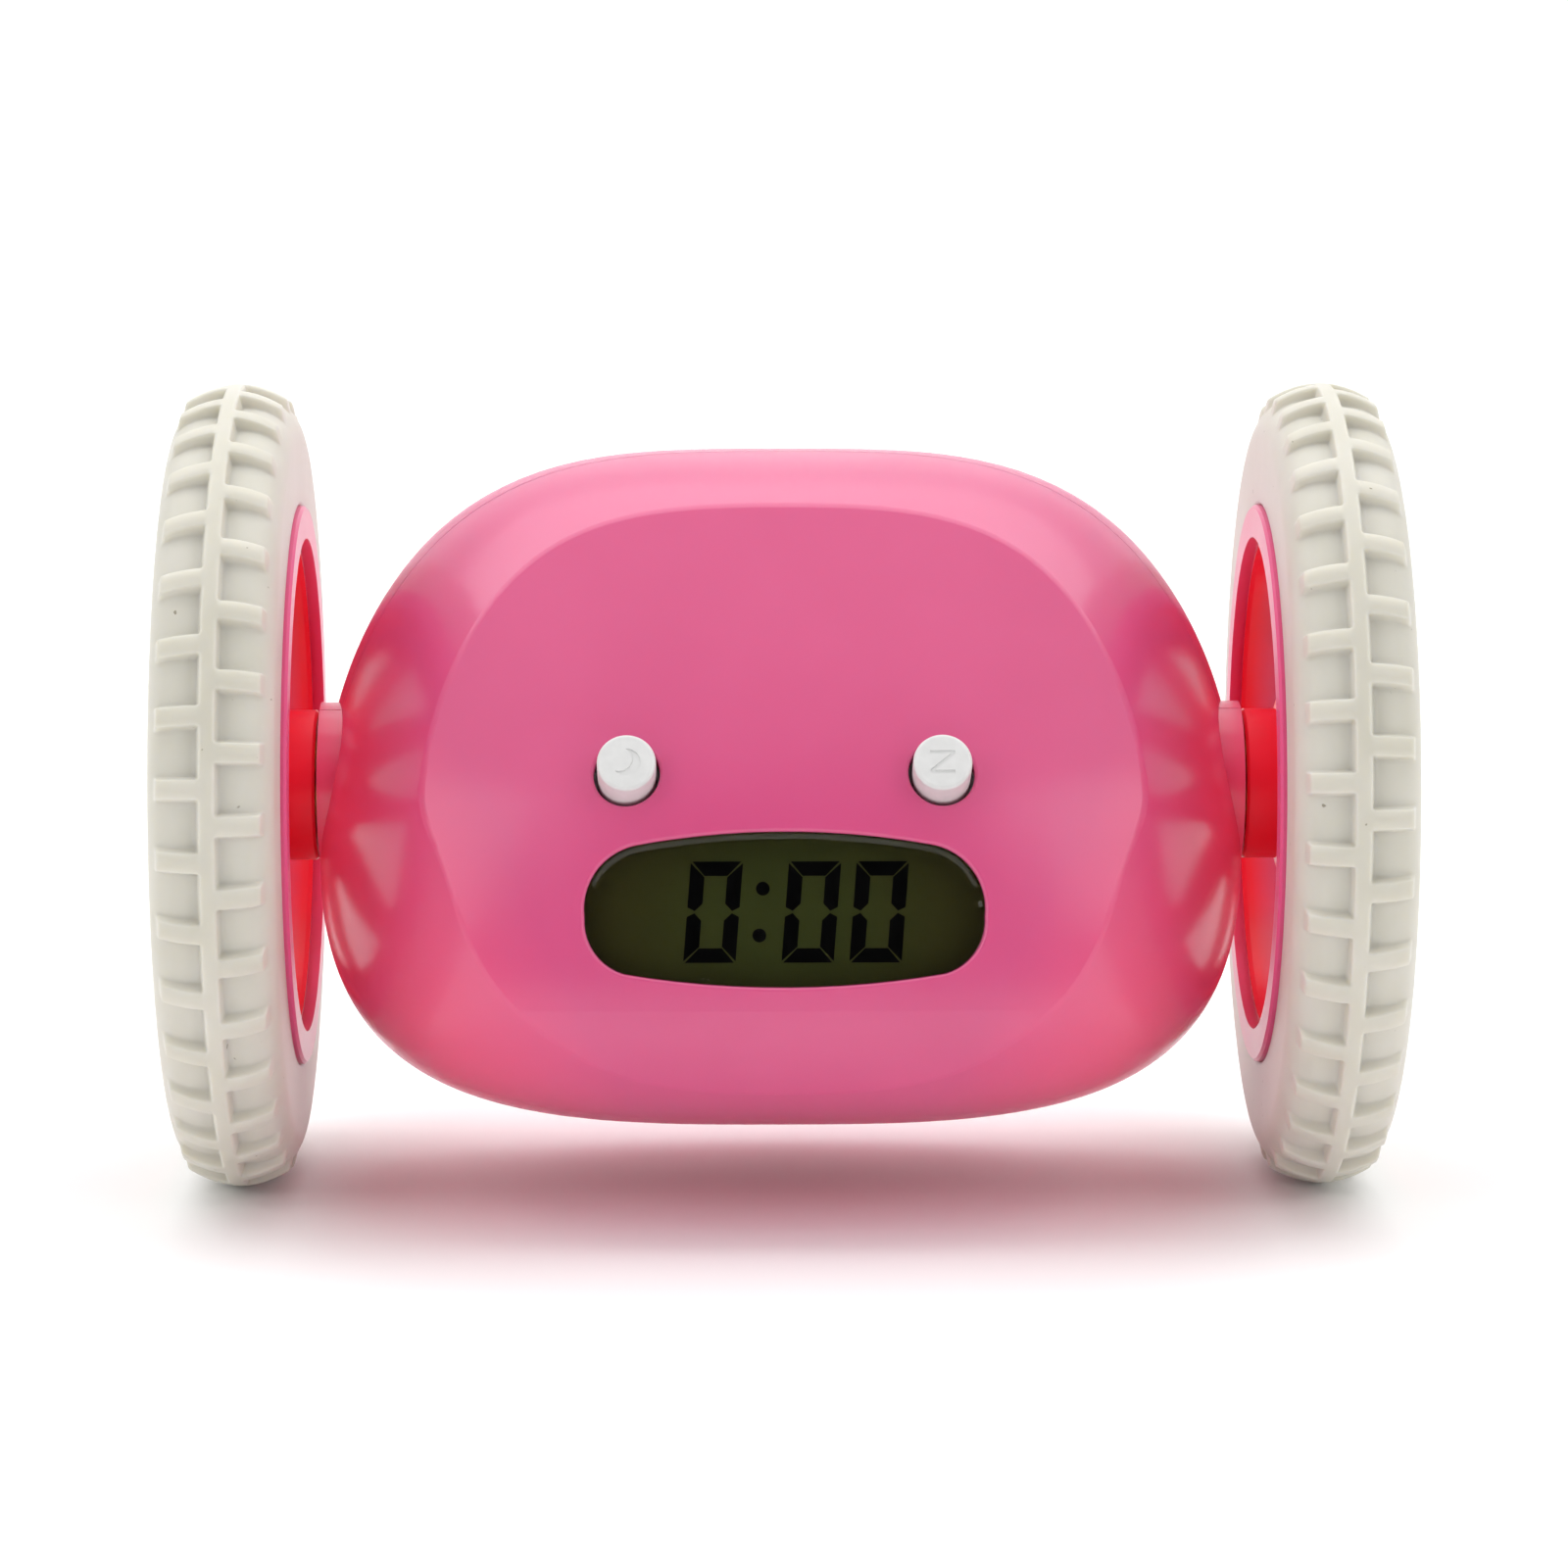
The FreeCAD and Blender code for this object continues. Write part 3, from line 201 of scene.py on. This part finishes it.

# %% [markdown]
# The rims are moulded in the same pink, but inside the dish they look red, because
# light bounces from pink to pink before it comes out.  The flange at the dish's
# edge and the faces that point outward stay in the open and look as pink as the
# case.  So that bounced red is painted into the colour: it goes by the distance
# from the axle and by which way a face points along it, which a turning wheel
# doesn't change.

# %% Pink rims
DISH_R = (26.9 * MM, 27.5 * MM)
DISH_X = (62.2 * MM, 63.6 * MM)
# The base colour is the painted red of light bounced inside the dish.
rim_pink = moulded_plastic("moulded_pink_abs_rim", "#F8273F", "#FA2A43", 5.0, 0.006, 0.3,
                           Specular_IOR_Level=0.35, **PINK_ABS)
tree = rim_pink.node_tree
shader = tree.nodes["Principled BSDF"]
painted_bounce_red = shader.inputs["Base Color"].links[0].from_socket
place = add(tree, "ShaderNodeTexCoord").outputs["Object"]
flat = add(tree, "ShaderNodeVectorMath", [(place, 0)], {1: (0.0, 1.0, 1.0)},
           operation="MULTIPLY")
radius = add(tree, "ShaderNodeVectorMath", [(flat.outputs[0], 0)], {1: tuple(AXLE)},
             operation="DISTANCE")
edge = add(tree, "ShaderNodeMapRange", [(radius.outputs["Value"], "Value")],
           From_Min=DISH_R[0], From_Max=DISH_R[1])
along = add(tree, "ShaderNodeSeparateXYZ", [(place, "Vector")])
outward = add(tree, "ShaderNodeMath", [(along.outputs["X"], 0)], operation="ABSOLUTE")
outside = add(tree, "ShaderNodeMapRange", [(outward.outputs[0], "Value")],
              From_Min=DISH_X[0], From_Max=DISH_X[1])
hand = add(tree, "ShaderNodeMath", [(along.outputs["X"], 0)], operation="SIGN")
surface = add(tree, "ShaderNodeNewGeometry")
facing = add(tree, "ShaderNodeSeparateXYZ", [(surface.outputs["Normal"], "Vector")])
outward_face = add(tree, "ShaderNodeMath", [(facing.outputs["X"], 0), (hand.outputs[0], 1)],
                   operation="MULTIPLY")
turned_out = add(tree, "ShaderNodeMapRange", [(outward_face.outputs[0], "Value")],
                 From_Min=0.3, From_Max=0.7)
rim_edge = add(tree, "ShaderNodeMath",
               [(edge.outputs["Result"], 0), (outside.outputs["Result"], 1)],
               operation="MAXIMUM")
open_air = add(tree, "ShaderNodeMath",
               [(rim_edge.outputs[0], 0), (turned_out.outputs["Result"], 1)],
               operation="MAXIMUM")
# Painted bounce light: red in the dish, the case's pink at the flange and on outward faces.
blend = add(tree, "ShaderNodeMixRGB", [(open_air.outputs[0], 0), (painted_bounce_red, 1)],
            {2: linear("#DE5787")})
tree.links.new(blend.outputs["Color"], shader.inputs["Base Color"])

# %% [markdown]
# ## Milky silicone
# The tyres are white silicone rubber, pressed in a hot mould.  Light goes a little
# way in, so shadows between the lugs turn cream instead of grey.  Subsurface
# scattering of about a millimetre gives that; a plain white would look like chalk.
# A few dust specks cling to it, as they do to all silicone.

# %% Silicone rubber
tyre_white = bpy.data.materials.new("milky_silicone_rubber")
tyre_white.use_nodes = True
tree = tyre_white.node_tree
tree.nodes.clear()
place = add(tree, "ShaderNodeTexCoord").outputs["Object"]
cloud = add(tree, "ShaderNodeTexNoise", [(place, "Vector")], Scale=MM_SCALE / 9.0, Detail=4.0)
body = add(tree, "ShaderNodeValToRGB", [(cloud.outputs["Fac"], "Fac")],
           ramp=[(0.35, "#CCC9BD"), (0.65, "#D1CEC4")])
dust = add(tree, "ShaderNodeTexNoise", [(place, "Vector")], Scale=MM_SCALE / 1.1, Detail=1.0)
speck = add(tree, "ShaderNodeValToRGB", [(dust.outputs["Fac"], "Fac")],
            ramp=[(0.79, "#FFFFFF"), (0.82, "#B9B4A8")])
dusty = add(tree, "ShaderNodeMixRGB",
            [(body.outputs["Color"], 1), (speck.outputs["Color"], 2)], {0: 1.0},
            blend_type="MULTIPLY")
grain = add(tree, "ShaderNodeTexNoise", [(place, "Vector")], Scale=MM_SCALE / 0.8, Detail=2.0)
matt = add(tree, "ShaderNodeBump", [(grain.outputs["Fac"], "Height")],
           Strength=0.35, Distance=0.02 * MM)
sheen = add(tree, "ShaderNodeMapRange", [(cloud.outputs["Fac"], "Value")],
            To_Min=0.36, To_Max=0.5)
shader = add(tree, "ShaderNodeBsdfPrincipled",
             [(dusty.outputs["Color"], "Base Color"), (matt.outputs["Normal"], "Normal"),
              (sheen.outputs["Result"], "Roughness")],
             IOR=1.43, Subsurface_Weight=0.6, Subsurface_Scale=2.5 * MM,
             Subsurface_Radius=(1.0, 0.9, 0.65))
add(tree, "ShaderNodeOutputMaterial", [(shader.outputs[0], "Surface")])
print("finish:", tyre_white.name, len(tree.nodes), "nodes")

# %% [markdown]
# ## White and black ABS
# The buttons and keys are white ABS from a spark-eroded tool, which leaves fine
# grit in the surface and a soft gloss.  Hidden frames are black or natural plastic
# with the same grit.  The grit of the real tool is about 0.05 mm and would not
# show, so it is drawn ten times as coarse.

# %% Textured plastics
cap_white = moulded_plastic("spark_textured_white_abs", "#D9D9D8", "#DEDEDD",
                            0.5, 0.012, 0.36, IOR=1.52)
black_plastic = moulded_plastic("moulded_black_abs", "#141414", "#1C1C1D",
                                0.6, 0.012, 0.46, IOR=1.52)
nylon = moulded_plastic("natural_nylon", "#D9D6CA", "#E1DED4", 1.0, 0.01, 0.42, IOR=1.53)
circuit_green = moulded_plastic("solder_mask_on_glass_epoxy", "#1D5A33", "#256B3D",
                                2.0, 0.01, 0.3, IOR=1.5)
cell_jacket = moulded_plastic("shrunk_pvc_cell_jacket", "#3A4048", "#454C55",
                              3.0, 0.01, 0.3, IOR=1.54)
grey_rubber = moulded_plastic("conductive_elastomer", "#55565A", "#606166",
                              0.5, 0.015, 0.55, IOR=1.45)
print("finishes so far:", len(bpy.data.materials))

# %% [markdown]
# ## Metals
# Screws are zinc plated, shafts and bushes are turned.  Turning leaves rings too
# fine to see, which blur the reflection; a stretched noise stands for them, drawn
# about 0.15 mm apart so that it shows close up.

# %% Turned and plated metal


def turned_metal(name, low, high, gloss):
    """Bare or plated metal with fine rings about the X direction."""
    material = bpy.data.materials.new(name)
    material.use_nodes = True
    tree = material.node_tree
    tree.nodes.clear()
    place = add(tree, "ShaderNodeTexCoord").outputs["Object"]
    ring = add(tree, "ShaderNodeMapping", [(place, "Vector")], Scale=(6.0, 1.0, 1.0))
    cut = add(tree, "ShaderNodeTexNoise", [(ring.outputs["Vector"], "Vector")],
              Scale=MM_SCALE / 0.9, Detail=3.0)
    colour = add(tree, "ShaderNodeValToRGB", [(cut.outputs["Fac"], "Fac")],
                 ramp=[(0.3, low), (0.7, high)])
    blur = add(tree, "ShaderNodeMapRange", [(cut.outputs["Fac"], "Value")],
               To_Min=gloss - 0.06, To_Max=gloss + 0.08)
    marks = add(tree, "ShaderNodeBump", [(cut.outputs["Fac"], "Height")],
                Strength=0.4, Distance=0.01 * MM)
    shader = add(tree, "ShaderNodeBsdfPrincipled",
                 [(colour.outputs["Color"], "Base Color"), (blur.outputs["Result"], "Roughness"),
                  (marks.outputs["Normal"], "Normal")], Metallic=1.0)
    add(tree, "ShaderNodeOutputMaterial", [(shader.outputs[0], "Surface")])
    return material


screw_steel = turned_metal("zinc_plated_steel", "#B9BABD", "#C9CACC", 0.3)
motor_can = turned_metal("drawn_steel_can", "#A9ABAE", "#B6B8BB", 0.36)
brass = turned_metal("turned_brass", "#C9A356", "#D6B26A", 0.3)

# %% [markdown]
# ## The display
# The window is a polished acrylic lens over a liquid-crystal cell.  The cell's
# rear polariser is a dull olive mirror, and a switched segment blocks nearly all
# light.  The frame's shade on it is painted in: greener in the middle, browner
# towards the edge.
# The lens could be left out, but its weak gloss ties the window into the face.

# %% Lens, polariser and segments
lens_clear = bpy.data.materials.new("polished_acrylic")
lens_clear.use_nodes = True
tree = lens_clear.node_tree
tree.nodes.clear()
place = add(tree, "ShaderNodeTexCoord").outputs["Object"]
smoke = add(tree, "ShaderNodeTexNoise", [(place, "Vector")], Scale=MM_SCALE / 20.0, Detail=1.0)
tone = add(tree, "ShaderNodeValToRGB", [(smoke.outputs["Fac"], "Fac")],
           ramp=[(0.35, "#E6E6E2"), (0.65, "#EAEAE6")])
shader = add(tree, "ShaderNodeBsdfPrincipled", [(tone.outputs["Color"], "Base Color")],
             Roughness=0.0, IOR=1.49, Transmission_Weight=1.0, Specular_IOR_Level=0.015)
add(tree, "ShaderNodeOutputMaterial", [(shader.outputs[0], "Surface")])

lcd_olive = bpy.data.materials.new("reflective_polariser")
lcd_olive.use_nodes = True
tree = lcd_olive.node_tree
tree.nodes.clear()
place = add(tree, "ShaderNodeTexCoord").outputs["Object"]
DISPLAY_MIDDLE = leaned(0.0, -33.0, -13.2)
SQUASH = 1.4
spread = add(tree, "ShaderNodeMapping", [(place, "Vector")], vector_type="POINT",
             Location=(0.0, -DISPLAY_MIDDLE.y * SQUASH, -DISPLAY_MIDDLE.z * SQUASH),
             Scale=(1.0, SQUASH, SQUASH))
off = add(tree, "ShaderNodeVectorMath", [(spread.outputs["Vector"], 0)], operation="LENGTH")
edge = add(tree, "ShaderNodeMapRange", [(off.outputs["Value"], "Value")],
           From_Min=9.0 * MM, From_Max=23.0 * MM)
# Painted shade of the frame: the polariser turns browner towards its edge.
olive = add(tree, "ShaderNodeValToRGB", [(edge.outputs["Result"], "Fac")],
            ramp=[(0.0, "#575D31"), (1.0, "#5A532E")])
shader = add(tree, "ShaderNodeBsdfPrincipled", [(olive.outputs["Color"], "Base Color")],
             Roughness=0.4, IOR=1.5, Specular_IOR_Level=0.02)
add(tree, "ShaderNodeOutputMaterial", [(shader.outputs[0], "Surface")])

digit_dark = moulded_plastic("twisted_liquid_crystal", "#0C0B0D", "#0F0E10", 3.0, 0.001, 0.5,
                             IOR=1.5, Specular_IOR_Level=0.02)
print("materials:", len(bpy.data.materials))

# %% [markdown]
# ## The tyres
# Each tyre is a crowned band with a rib round its middle and two columns of square
# lugs, 36 to a turn, set half a pitch apart.  Every edge is soft, because silicone
# doesn't fill sharp corners.  The band could be lathed and the lugs put on as
# blocks, but they would meet the band in hard lines.  So one pitch is made as a
# height over the band, with soft steps up to the rib and the lugs, and Geometry
# Nodes repeat it round the axle and weld the ring.

# %% Tyre sizes
TYRE_HALF = 6.65
TYRE_MID_X = 59.85
BORE_R = 31.0
BAND_R = 43.0
CROWN_R = 44.5
CROWN_DROP = 1.8
SHOULDER_DROP = 4.6
SHOULDER_POWER = 3.17
RIB_HALF = 1.0
LUG_END = 5.55
LUG_HALF = 1.2
SOFT = 0.5
LUGS = 36
PITCH = 360.0 / LUGS
print("lug pitch:", PITCH, "degrees,", round(math.radians(PITCH) * CROWN_R, 2), "mm")

# %% One pitch of the tread


def soft_step(value, edge):
    """0 below the edge and 1 above it, with a rounded step SOFT wide between."""
    t = min(max((value - edge) / SOFT + 0.5, 0.0), 1.0)
    return t * t * (3 - 2 * t)


def tread_radius(u, angle):
    """Radius of the tread, u mm from its middle, at an angle within one pitch."""
    rounding = math.sqrt(max(0.0, 1 - abs(u / TYRE_HALF) ** SHOULDER_POWER))
    band = BAND_R - SHOULDER_DROP * (1 - rounding)
    crown = CROWN_R - CROWN_DROP * (u / LUG_END) ** 2
    middle = 0.0 if u < 0 else PITCH / 2
    along = math.radians(abs(angle - middle)) * CROWN_R
    bare_rib = soft_step(abs(u), RIB_HALF)
    bare_lug = 1 - (1 - soft_step(along, LUG_HALF)) * (1 - soft_step(abs(u), LUG_END))
    return band + (crown - band) * (1 - bare_rib * bare_lug)


def near(edge, *offsets):
    """Places close to an edge, where the mesh needs more rows."""
    return [edge + offset for offset in offsets]


over_step = (-0.26, -0.15, -0.05, 0.05, 0.15, 0.26)
across = ([0.0, 0.5] + near(RIB_HALF, *over_step) + [1.7, 2.6, 3.6, 4.5, 5.0]
          + near(LUG_END, *over_step))
across += [TYRE_HALF * math.sin(math.radians(a)) ** (2 / SHOULDER_POWER)
           for a in (60, 66, 72, 78, 84, 90)]
flank = math.degrees(LUG_HALF / CROWN_R)
steps = (-0.36, -0.2, -0.07, 0.07, 0.2, 0.36)
round_it = [-PITCH / 4, *near(-flank, *steps), 0.0, *near(flank, *steps), PITCH / 4,
            *near(PITCH / 2 - flank, *steps), PITCH / 2, *near(PITCH / 2 + flank, *steps),
            3 * PITCH / 4]
side_wall = ([(TYRE_HALF, r) for r in (37.0, 34.0, 31.6)]
             + [(6.58, 31.2), (6.35, BORE_R), (3.0, BORE_R)])


def tread_pitch(name, hand):
    """One pitch of the tyre about the X axis; hand is 1 on the right, -1 on the left."""
    right_half = [(u, None) for u in across] + side_wall
    loop = [(-u, r) for u, r in reversed(right_half[1:])] + right_half
    shape = bmesh.new()
    rows = []
    for angle in round_it:
        row = []
        for u, fixed in loop:
            r = fixed if fixed else tread_radius(u, angle)
            t = math.radians(angle)
            row.append(shape.verts.new((hand * (TYRE_MID_X + u) * MM, r * math.cos(t) * MM,
                                        r * math.sin(t) * MM)))
        rows.append(row)
    for one, other in zip(rows, rows[1:]):
        for i in range(len(loop)):
            j = (i + 1) % len(loop)
            shape.faces.new((one[i], one[j], other[j], other[i]))
    mesh = bpy.data.meshes.new(name)
    shape.to_mesh(mesh)
    shape.free()
    return mesh


# %% [markdown]
# The ring is a tree of Geometry Nodes with a name for each size, so that a tyre
# with more lugs only needs another number.  An array modifier about an empty
# would need a second object to turn by, and leaves its seams to chance.

# %% The ring of pitches
ring = bpy.data.node_groups.new("ring_of_pitches", "GeometryNodeTree")
socket = {}
for label, kind in (("Pitch piece", "NodeSocketGeometry"), ("Lugs", "NodeSocketInt"),
                    ("Lead angle", "NodeSocketFloat"), ("Axle", "NodeSocketVector"),
                    ("Weld distance", "NodeSocketFloat"), ("Rubber", "NodeSocketMaterial")):
    socket[label] = ring.interface.new_socket(label, in_out="INPUT", socket_type=kind).identifier
ring.interface.new_socket("Tyre", in_out="OUTPUT", socket_type="NodeSocketGeometry")
given = add(ring, "NodeGroupInput").outputs
spots = add(ring, "GeometryNodePoints", [(given["Lugs"], "Count"), (given["Axle"], "Position")])
share = add(ring, "ShaderNodeMath", [(given["Lugs"], 1)], {0: 2 * math.pi}, operation="DIVIDE")
number = add(ring, "GeometryNodeInputIndex")
turn = add(ring, "ShaderNodeMath", [(number.outputs[0], 0), (share.outputs[0], 1),
                                    (given["Lead angle"], 2)], operation="MULTIPLY_ADD")
about_axle = add(ring, "ShaderNodeCombineXYZ", [(turn.outputs[0], "X")])
copies = add(ring, "GeometryNodeInstanceOnPoints",
             [(spots.outputs[0], "Points"), (given["Pitch piece"], "Instance"),
              (about_axle.outputs[0], "Rotation")])
real = add(ring, "GeometryNodeRealizeInstances", [(copies.outputs[0], "Geometry")])
welded = add(ring, "GeometryNodeMergeByDistance",
             [(real.outputs[0], "Geometry"), (given["Weld distance"], "Distance")])
smooth = add(ring, "GeometryNodeSetShadeSmooth", [(welded.outputs[0], "Geometry")])
rubber = add(ring, "GeometryNodeSetMaterial",
             [(smooth.outputs[0], "Geometry"), (given["Rubber"], "Material")])
add(ring, "NodeGroupOutput", [(rubber.outputs[0], 0)])
print("ring tree:", len(ring.nodes), "nodes,", len(socket), "inputs")

# %% Both tyres
LEAD = {"right": -8.0, "left": -2.4}
for side, hand in (("right", 1), ("left", -1)):
    tyre = bpy.data.objects.new("silicone_tyre_" + side, tread_pitch("tread_pitch_" + side, hand))
    bpy.context.scene.collection.objects.link(tyre)
    maker = tyre.modifiers.new("ring", "NODES")
    maker.node_group = ring
    for label, value in (("Lugs", LUGS), ("Lead angle", math.radians(LEAD[side])),
                         ("Axle", tuple(AXLE)), ("Weld distance", 0.002 * MM),
                         ("Rubber", tyre_white)):
        maker[socket[label]] = value
    bpy.context.view_layer.update()
    made = bpy.data.meshes.new_from_object(
        tyre.evaluated_get(bpy.context.evaluated_depsgraph_get()))
    tyre.modifiers.remove(maker)
    tyre.data = made
    shape = bmesh.new()
    shape.from_mesh(made)
    bmesh.ops.recalc_face_normals(shape, faces=shape.faces)
    open_edges = sum(1 for e in shape.edges if len(e.link_faces) != 2)
    shape.to_mesh(made)
    shape.free()
    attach(tyre, "wheel_" + side)
    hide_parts("tyre_" + side)
    print(tyre.name, len(made.polygons), "faces, open edges:", open_edges,
          "top at", round(max(v.co.z for v in made.vertices) * 1000, 2), "mm")

# %% [markdown]
# ## Dress the CAD nodes
# Each node's material slots are filled from one list, so that a new node without
# a finish is noticed at once.

# %% Assign finishes
finish_of = {
    "front_shell": case_pink, "back_shell": case_pink, "battery_door": case_pink,
    "display_lens": lens_clear, "display_glass": lcd_olive, "display_segments": digit_dark,
    "display_frame": black_plastic, "display_connector": grey_rubber,
    "main_board": circuit_green, "button_board": circuit_green, "key_boards": circuit_green,
    "controller_blob": black_plastic, "front_switches": black_plastic,
    "key_switches": black_plastic, "board_screws": screw_steel, "case_screws": screw_steel,
    "frame_screws": screw_steel, "speaker": black_plastic, "speaker_magnet": motor_can,
    "alarm_button": cap_white, "snooze_button": cap_white, "battery_tray": black_plastic,
    "battery_cells": cell_jacket, "battery_springs": screw_steel,
    "battery_contacts": screw_steel,
}
for key in ("hour", "minute", "snooze", "time", "alarm", "run"):
    finish_of[key + "_key"] = cap_white
for side in ("_right", "_left"):
    finish_of.update({
        "gear_frame" + side: nylon, "idler_pin" + side: screw_steel, "motor" + side: motor_can,
        "motor_shaft" + side: screw_steel, "output_gear" + side: nylon,
        "idler_gear" + side: nylon, "motor_pinion" + side: brass, "axle" + side: screw_steel,
        "bush" + side: brass, "rim" + side: rim_pink, "tyre" + side: tyre_white,
        "wheel_screw" + side: screw_steel, "hub_cap" + side: rim_pink,
    })
for name, node in nodes.items():
    node.data.materials.clear()
    node.data.materials.append(finish_of[name])
print("dressed:", len(finish_of))

# %% [markdown]
# ## Floor and light
# A pale sweep, one broad soft light overhead and one on each side.

# %% Floor
sweep_mesh = bpy.data.meshes.new("sweep")
sweep = bpy.data.objects.new("sweep", sweep_mesh)
bpy.context.scene.collection.objects.link(sweep)
WIDE = 6.0
FRONT_EDGE = -3.0
BACK_EDGE = 2.0
BEND_R = 0.8
TALL = 3.0
rail = [(FRONT_EDGE, 0.0), (BACK_EDGE - BEND_R, 0.0)]
for step in range(1, 17):
    turn = math.pi / 2 * step / 16
    rail.append((BACK_EDGE - BEND_R + BEND_R * math.sin(turn), BEND_R - BEND_R * math.cos(turn)))
rail.append((BACK_EDGE, TALL))
sweep_mesh.from_pydata(
    [(x, y, z) for y, z in rail for x in (-WIDE / 2, WIDE / 2)], [],
    [(2 * i, 2 * i + 1, 2 * i + 3, 2 * i + 2) for i in range(len(rail) - 1)])
for face in sweep_mesh.polygons:
    face.use_smooth = True
paper = bpy.data.materials.new("matt_white_paper")
paper.use_nodes = True
tree = paper.node_tree
tree.nodes.clear()
place = add(tree, "ShaderNodeTexCoord").outputs["Object"]
fibre = add(tree, "ShaderNodeTexNoise", [(place, "Vector")], Scale=MM_SCALE / 400.0, Detail=1.0)
tone = add(tree, "ShaderNodeValToRGB", [(fibre.outputs["Fac"], "Fac")],
           ramp=[(0.2, "#FAFAFA"), (0.8, "#FBFBFB")])
shader = add(tree, "ShaderNodeBsdfPrincipled", [(tone.outputs["Color"], "Base Color")],
             Roughness=0.8)
add(tree, "ShaderNodeOutputMaterial", [(shader.outputs[0], "Surface")])
sweep_mesh.materials.append(paper)

# %% Lights


def soft_light(name, place, target, width, height, power):
    """A white area light of a width and height in metres, turned to its target."""
    data = bpy.data.lights.new(name, "AREA")
    data.shape = "RECTANGLE"
    data.size = width
    data.size_y = height
    data.energy = power
    light = bpy.data.objects.new(name, data)
    bpy.context.scene.collection.objects.link(light)
    light.location = place
    light.rotation_euler = (Vector(target) - Vector(place)).to_track_quat("-Z", "Y").to_euler()


middle = (0.0, 0.0, 0.04)
soft_light("overhead", (0.0, 0.3, 0.95), middle, 2.0, 0.9, 8.2)
soft_light("front_left", (-1.1, -1.2, 0.75), middle, 0.9, 0.9, 4.9)
soft_light("front_right", (1.1, -1.2, 0.75), middle, 0.9, 0.9, 4.9)
soft_light("backdrop_wash", (0.0, 0.9, 1.6), (0.0, 2.0, 0.9), 2.4, 0.4, 15.0)

# %% [markdown]
# The room gives the rest of the light from all round, but not from straight ahead:
# there stand the camera and a dark curtain, so that the window over the display
# mirrors nothing and its segments stay readable.  It is also dimmer far to the
# sides, where it would shine through the wheels onto the case's ends.

# %% Room
room = bpy.data.worlds.new("studio")
bpy.context.scene.world = room
room.use_nodes = True
tree = room.node_tree
tree.nodes.clear()
way = add(tree, "ShaderNodeTexCoord").outputs["Generated"]
depth = add(tree, "ShaderNodeSeparateXYZ", [(way, "Vector")])
curtain = add(tree, "ShaderNodeMapRange", [(depth.outputs["Y"], "Value")],
              From_Min=-0.84, From_Max=-0.5, To_Min=0.01, To_Max=0.98)
sideways = add(tree, "ShaderNodeMath", [(depth.outputs["X"], 0)], operation="ABSOLUTE")
dim_side = add(tree, "ShaderNodeMapRange", [(sideways.outputs[0], "Value")],
               From_Min=0.8, From_Max=0.95, To_Min=1.0, To_Max=0.65)
both = add(tree, "ShaderNodeMath",
           [(curtain.outputs["Result"], 0), (dim_side.outputs["Result"], 1)],
           operation="MULTIPLY")
room_light = add(tree, "ShaderNodeBackground", [(both.outputs[0], "Strength")],
                 Color=(1.0, 1.0, 1.0, 1.0))
add(tree, "ShaderNodeOutputWorld", [(room_light.outputs[0], "Surface")])
bpy.context.scene.view_settings.view_transform = "Standard"
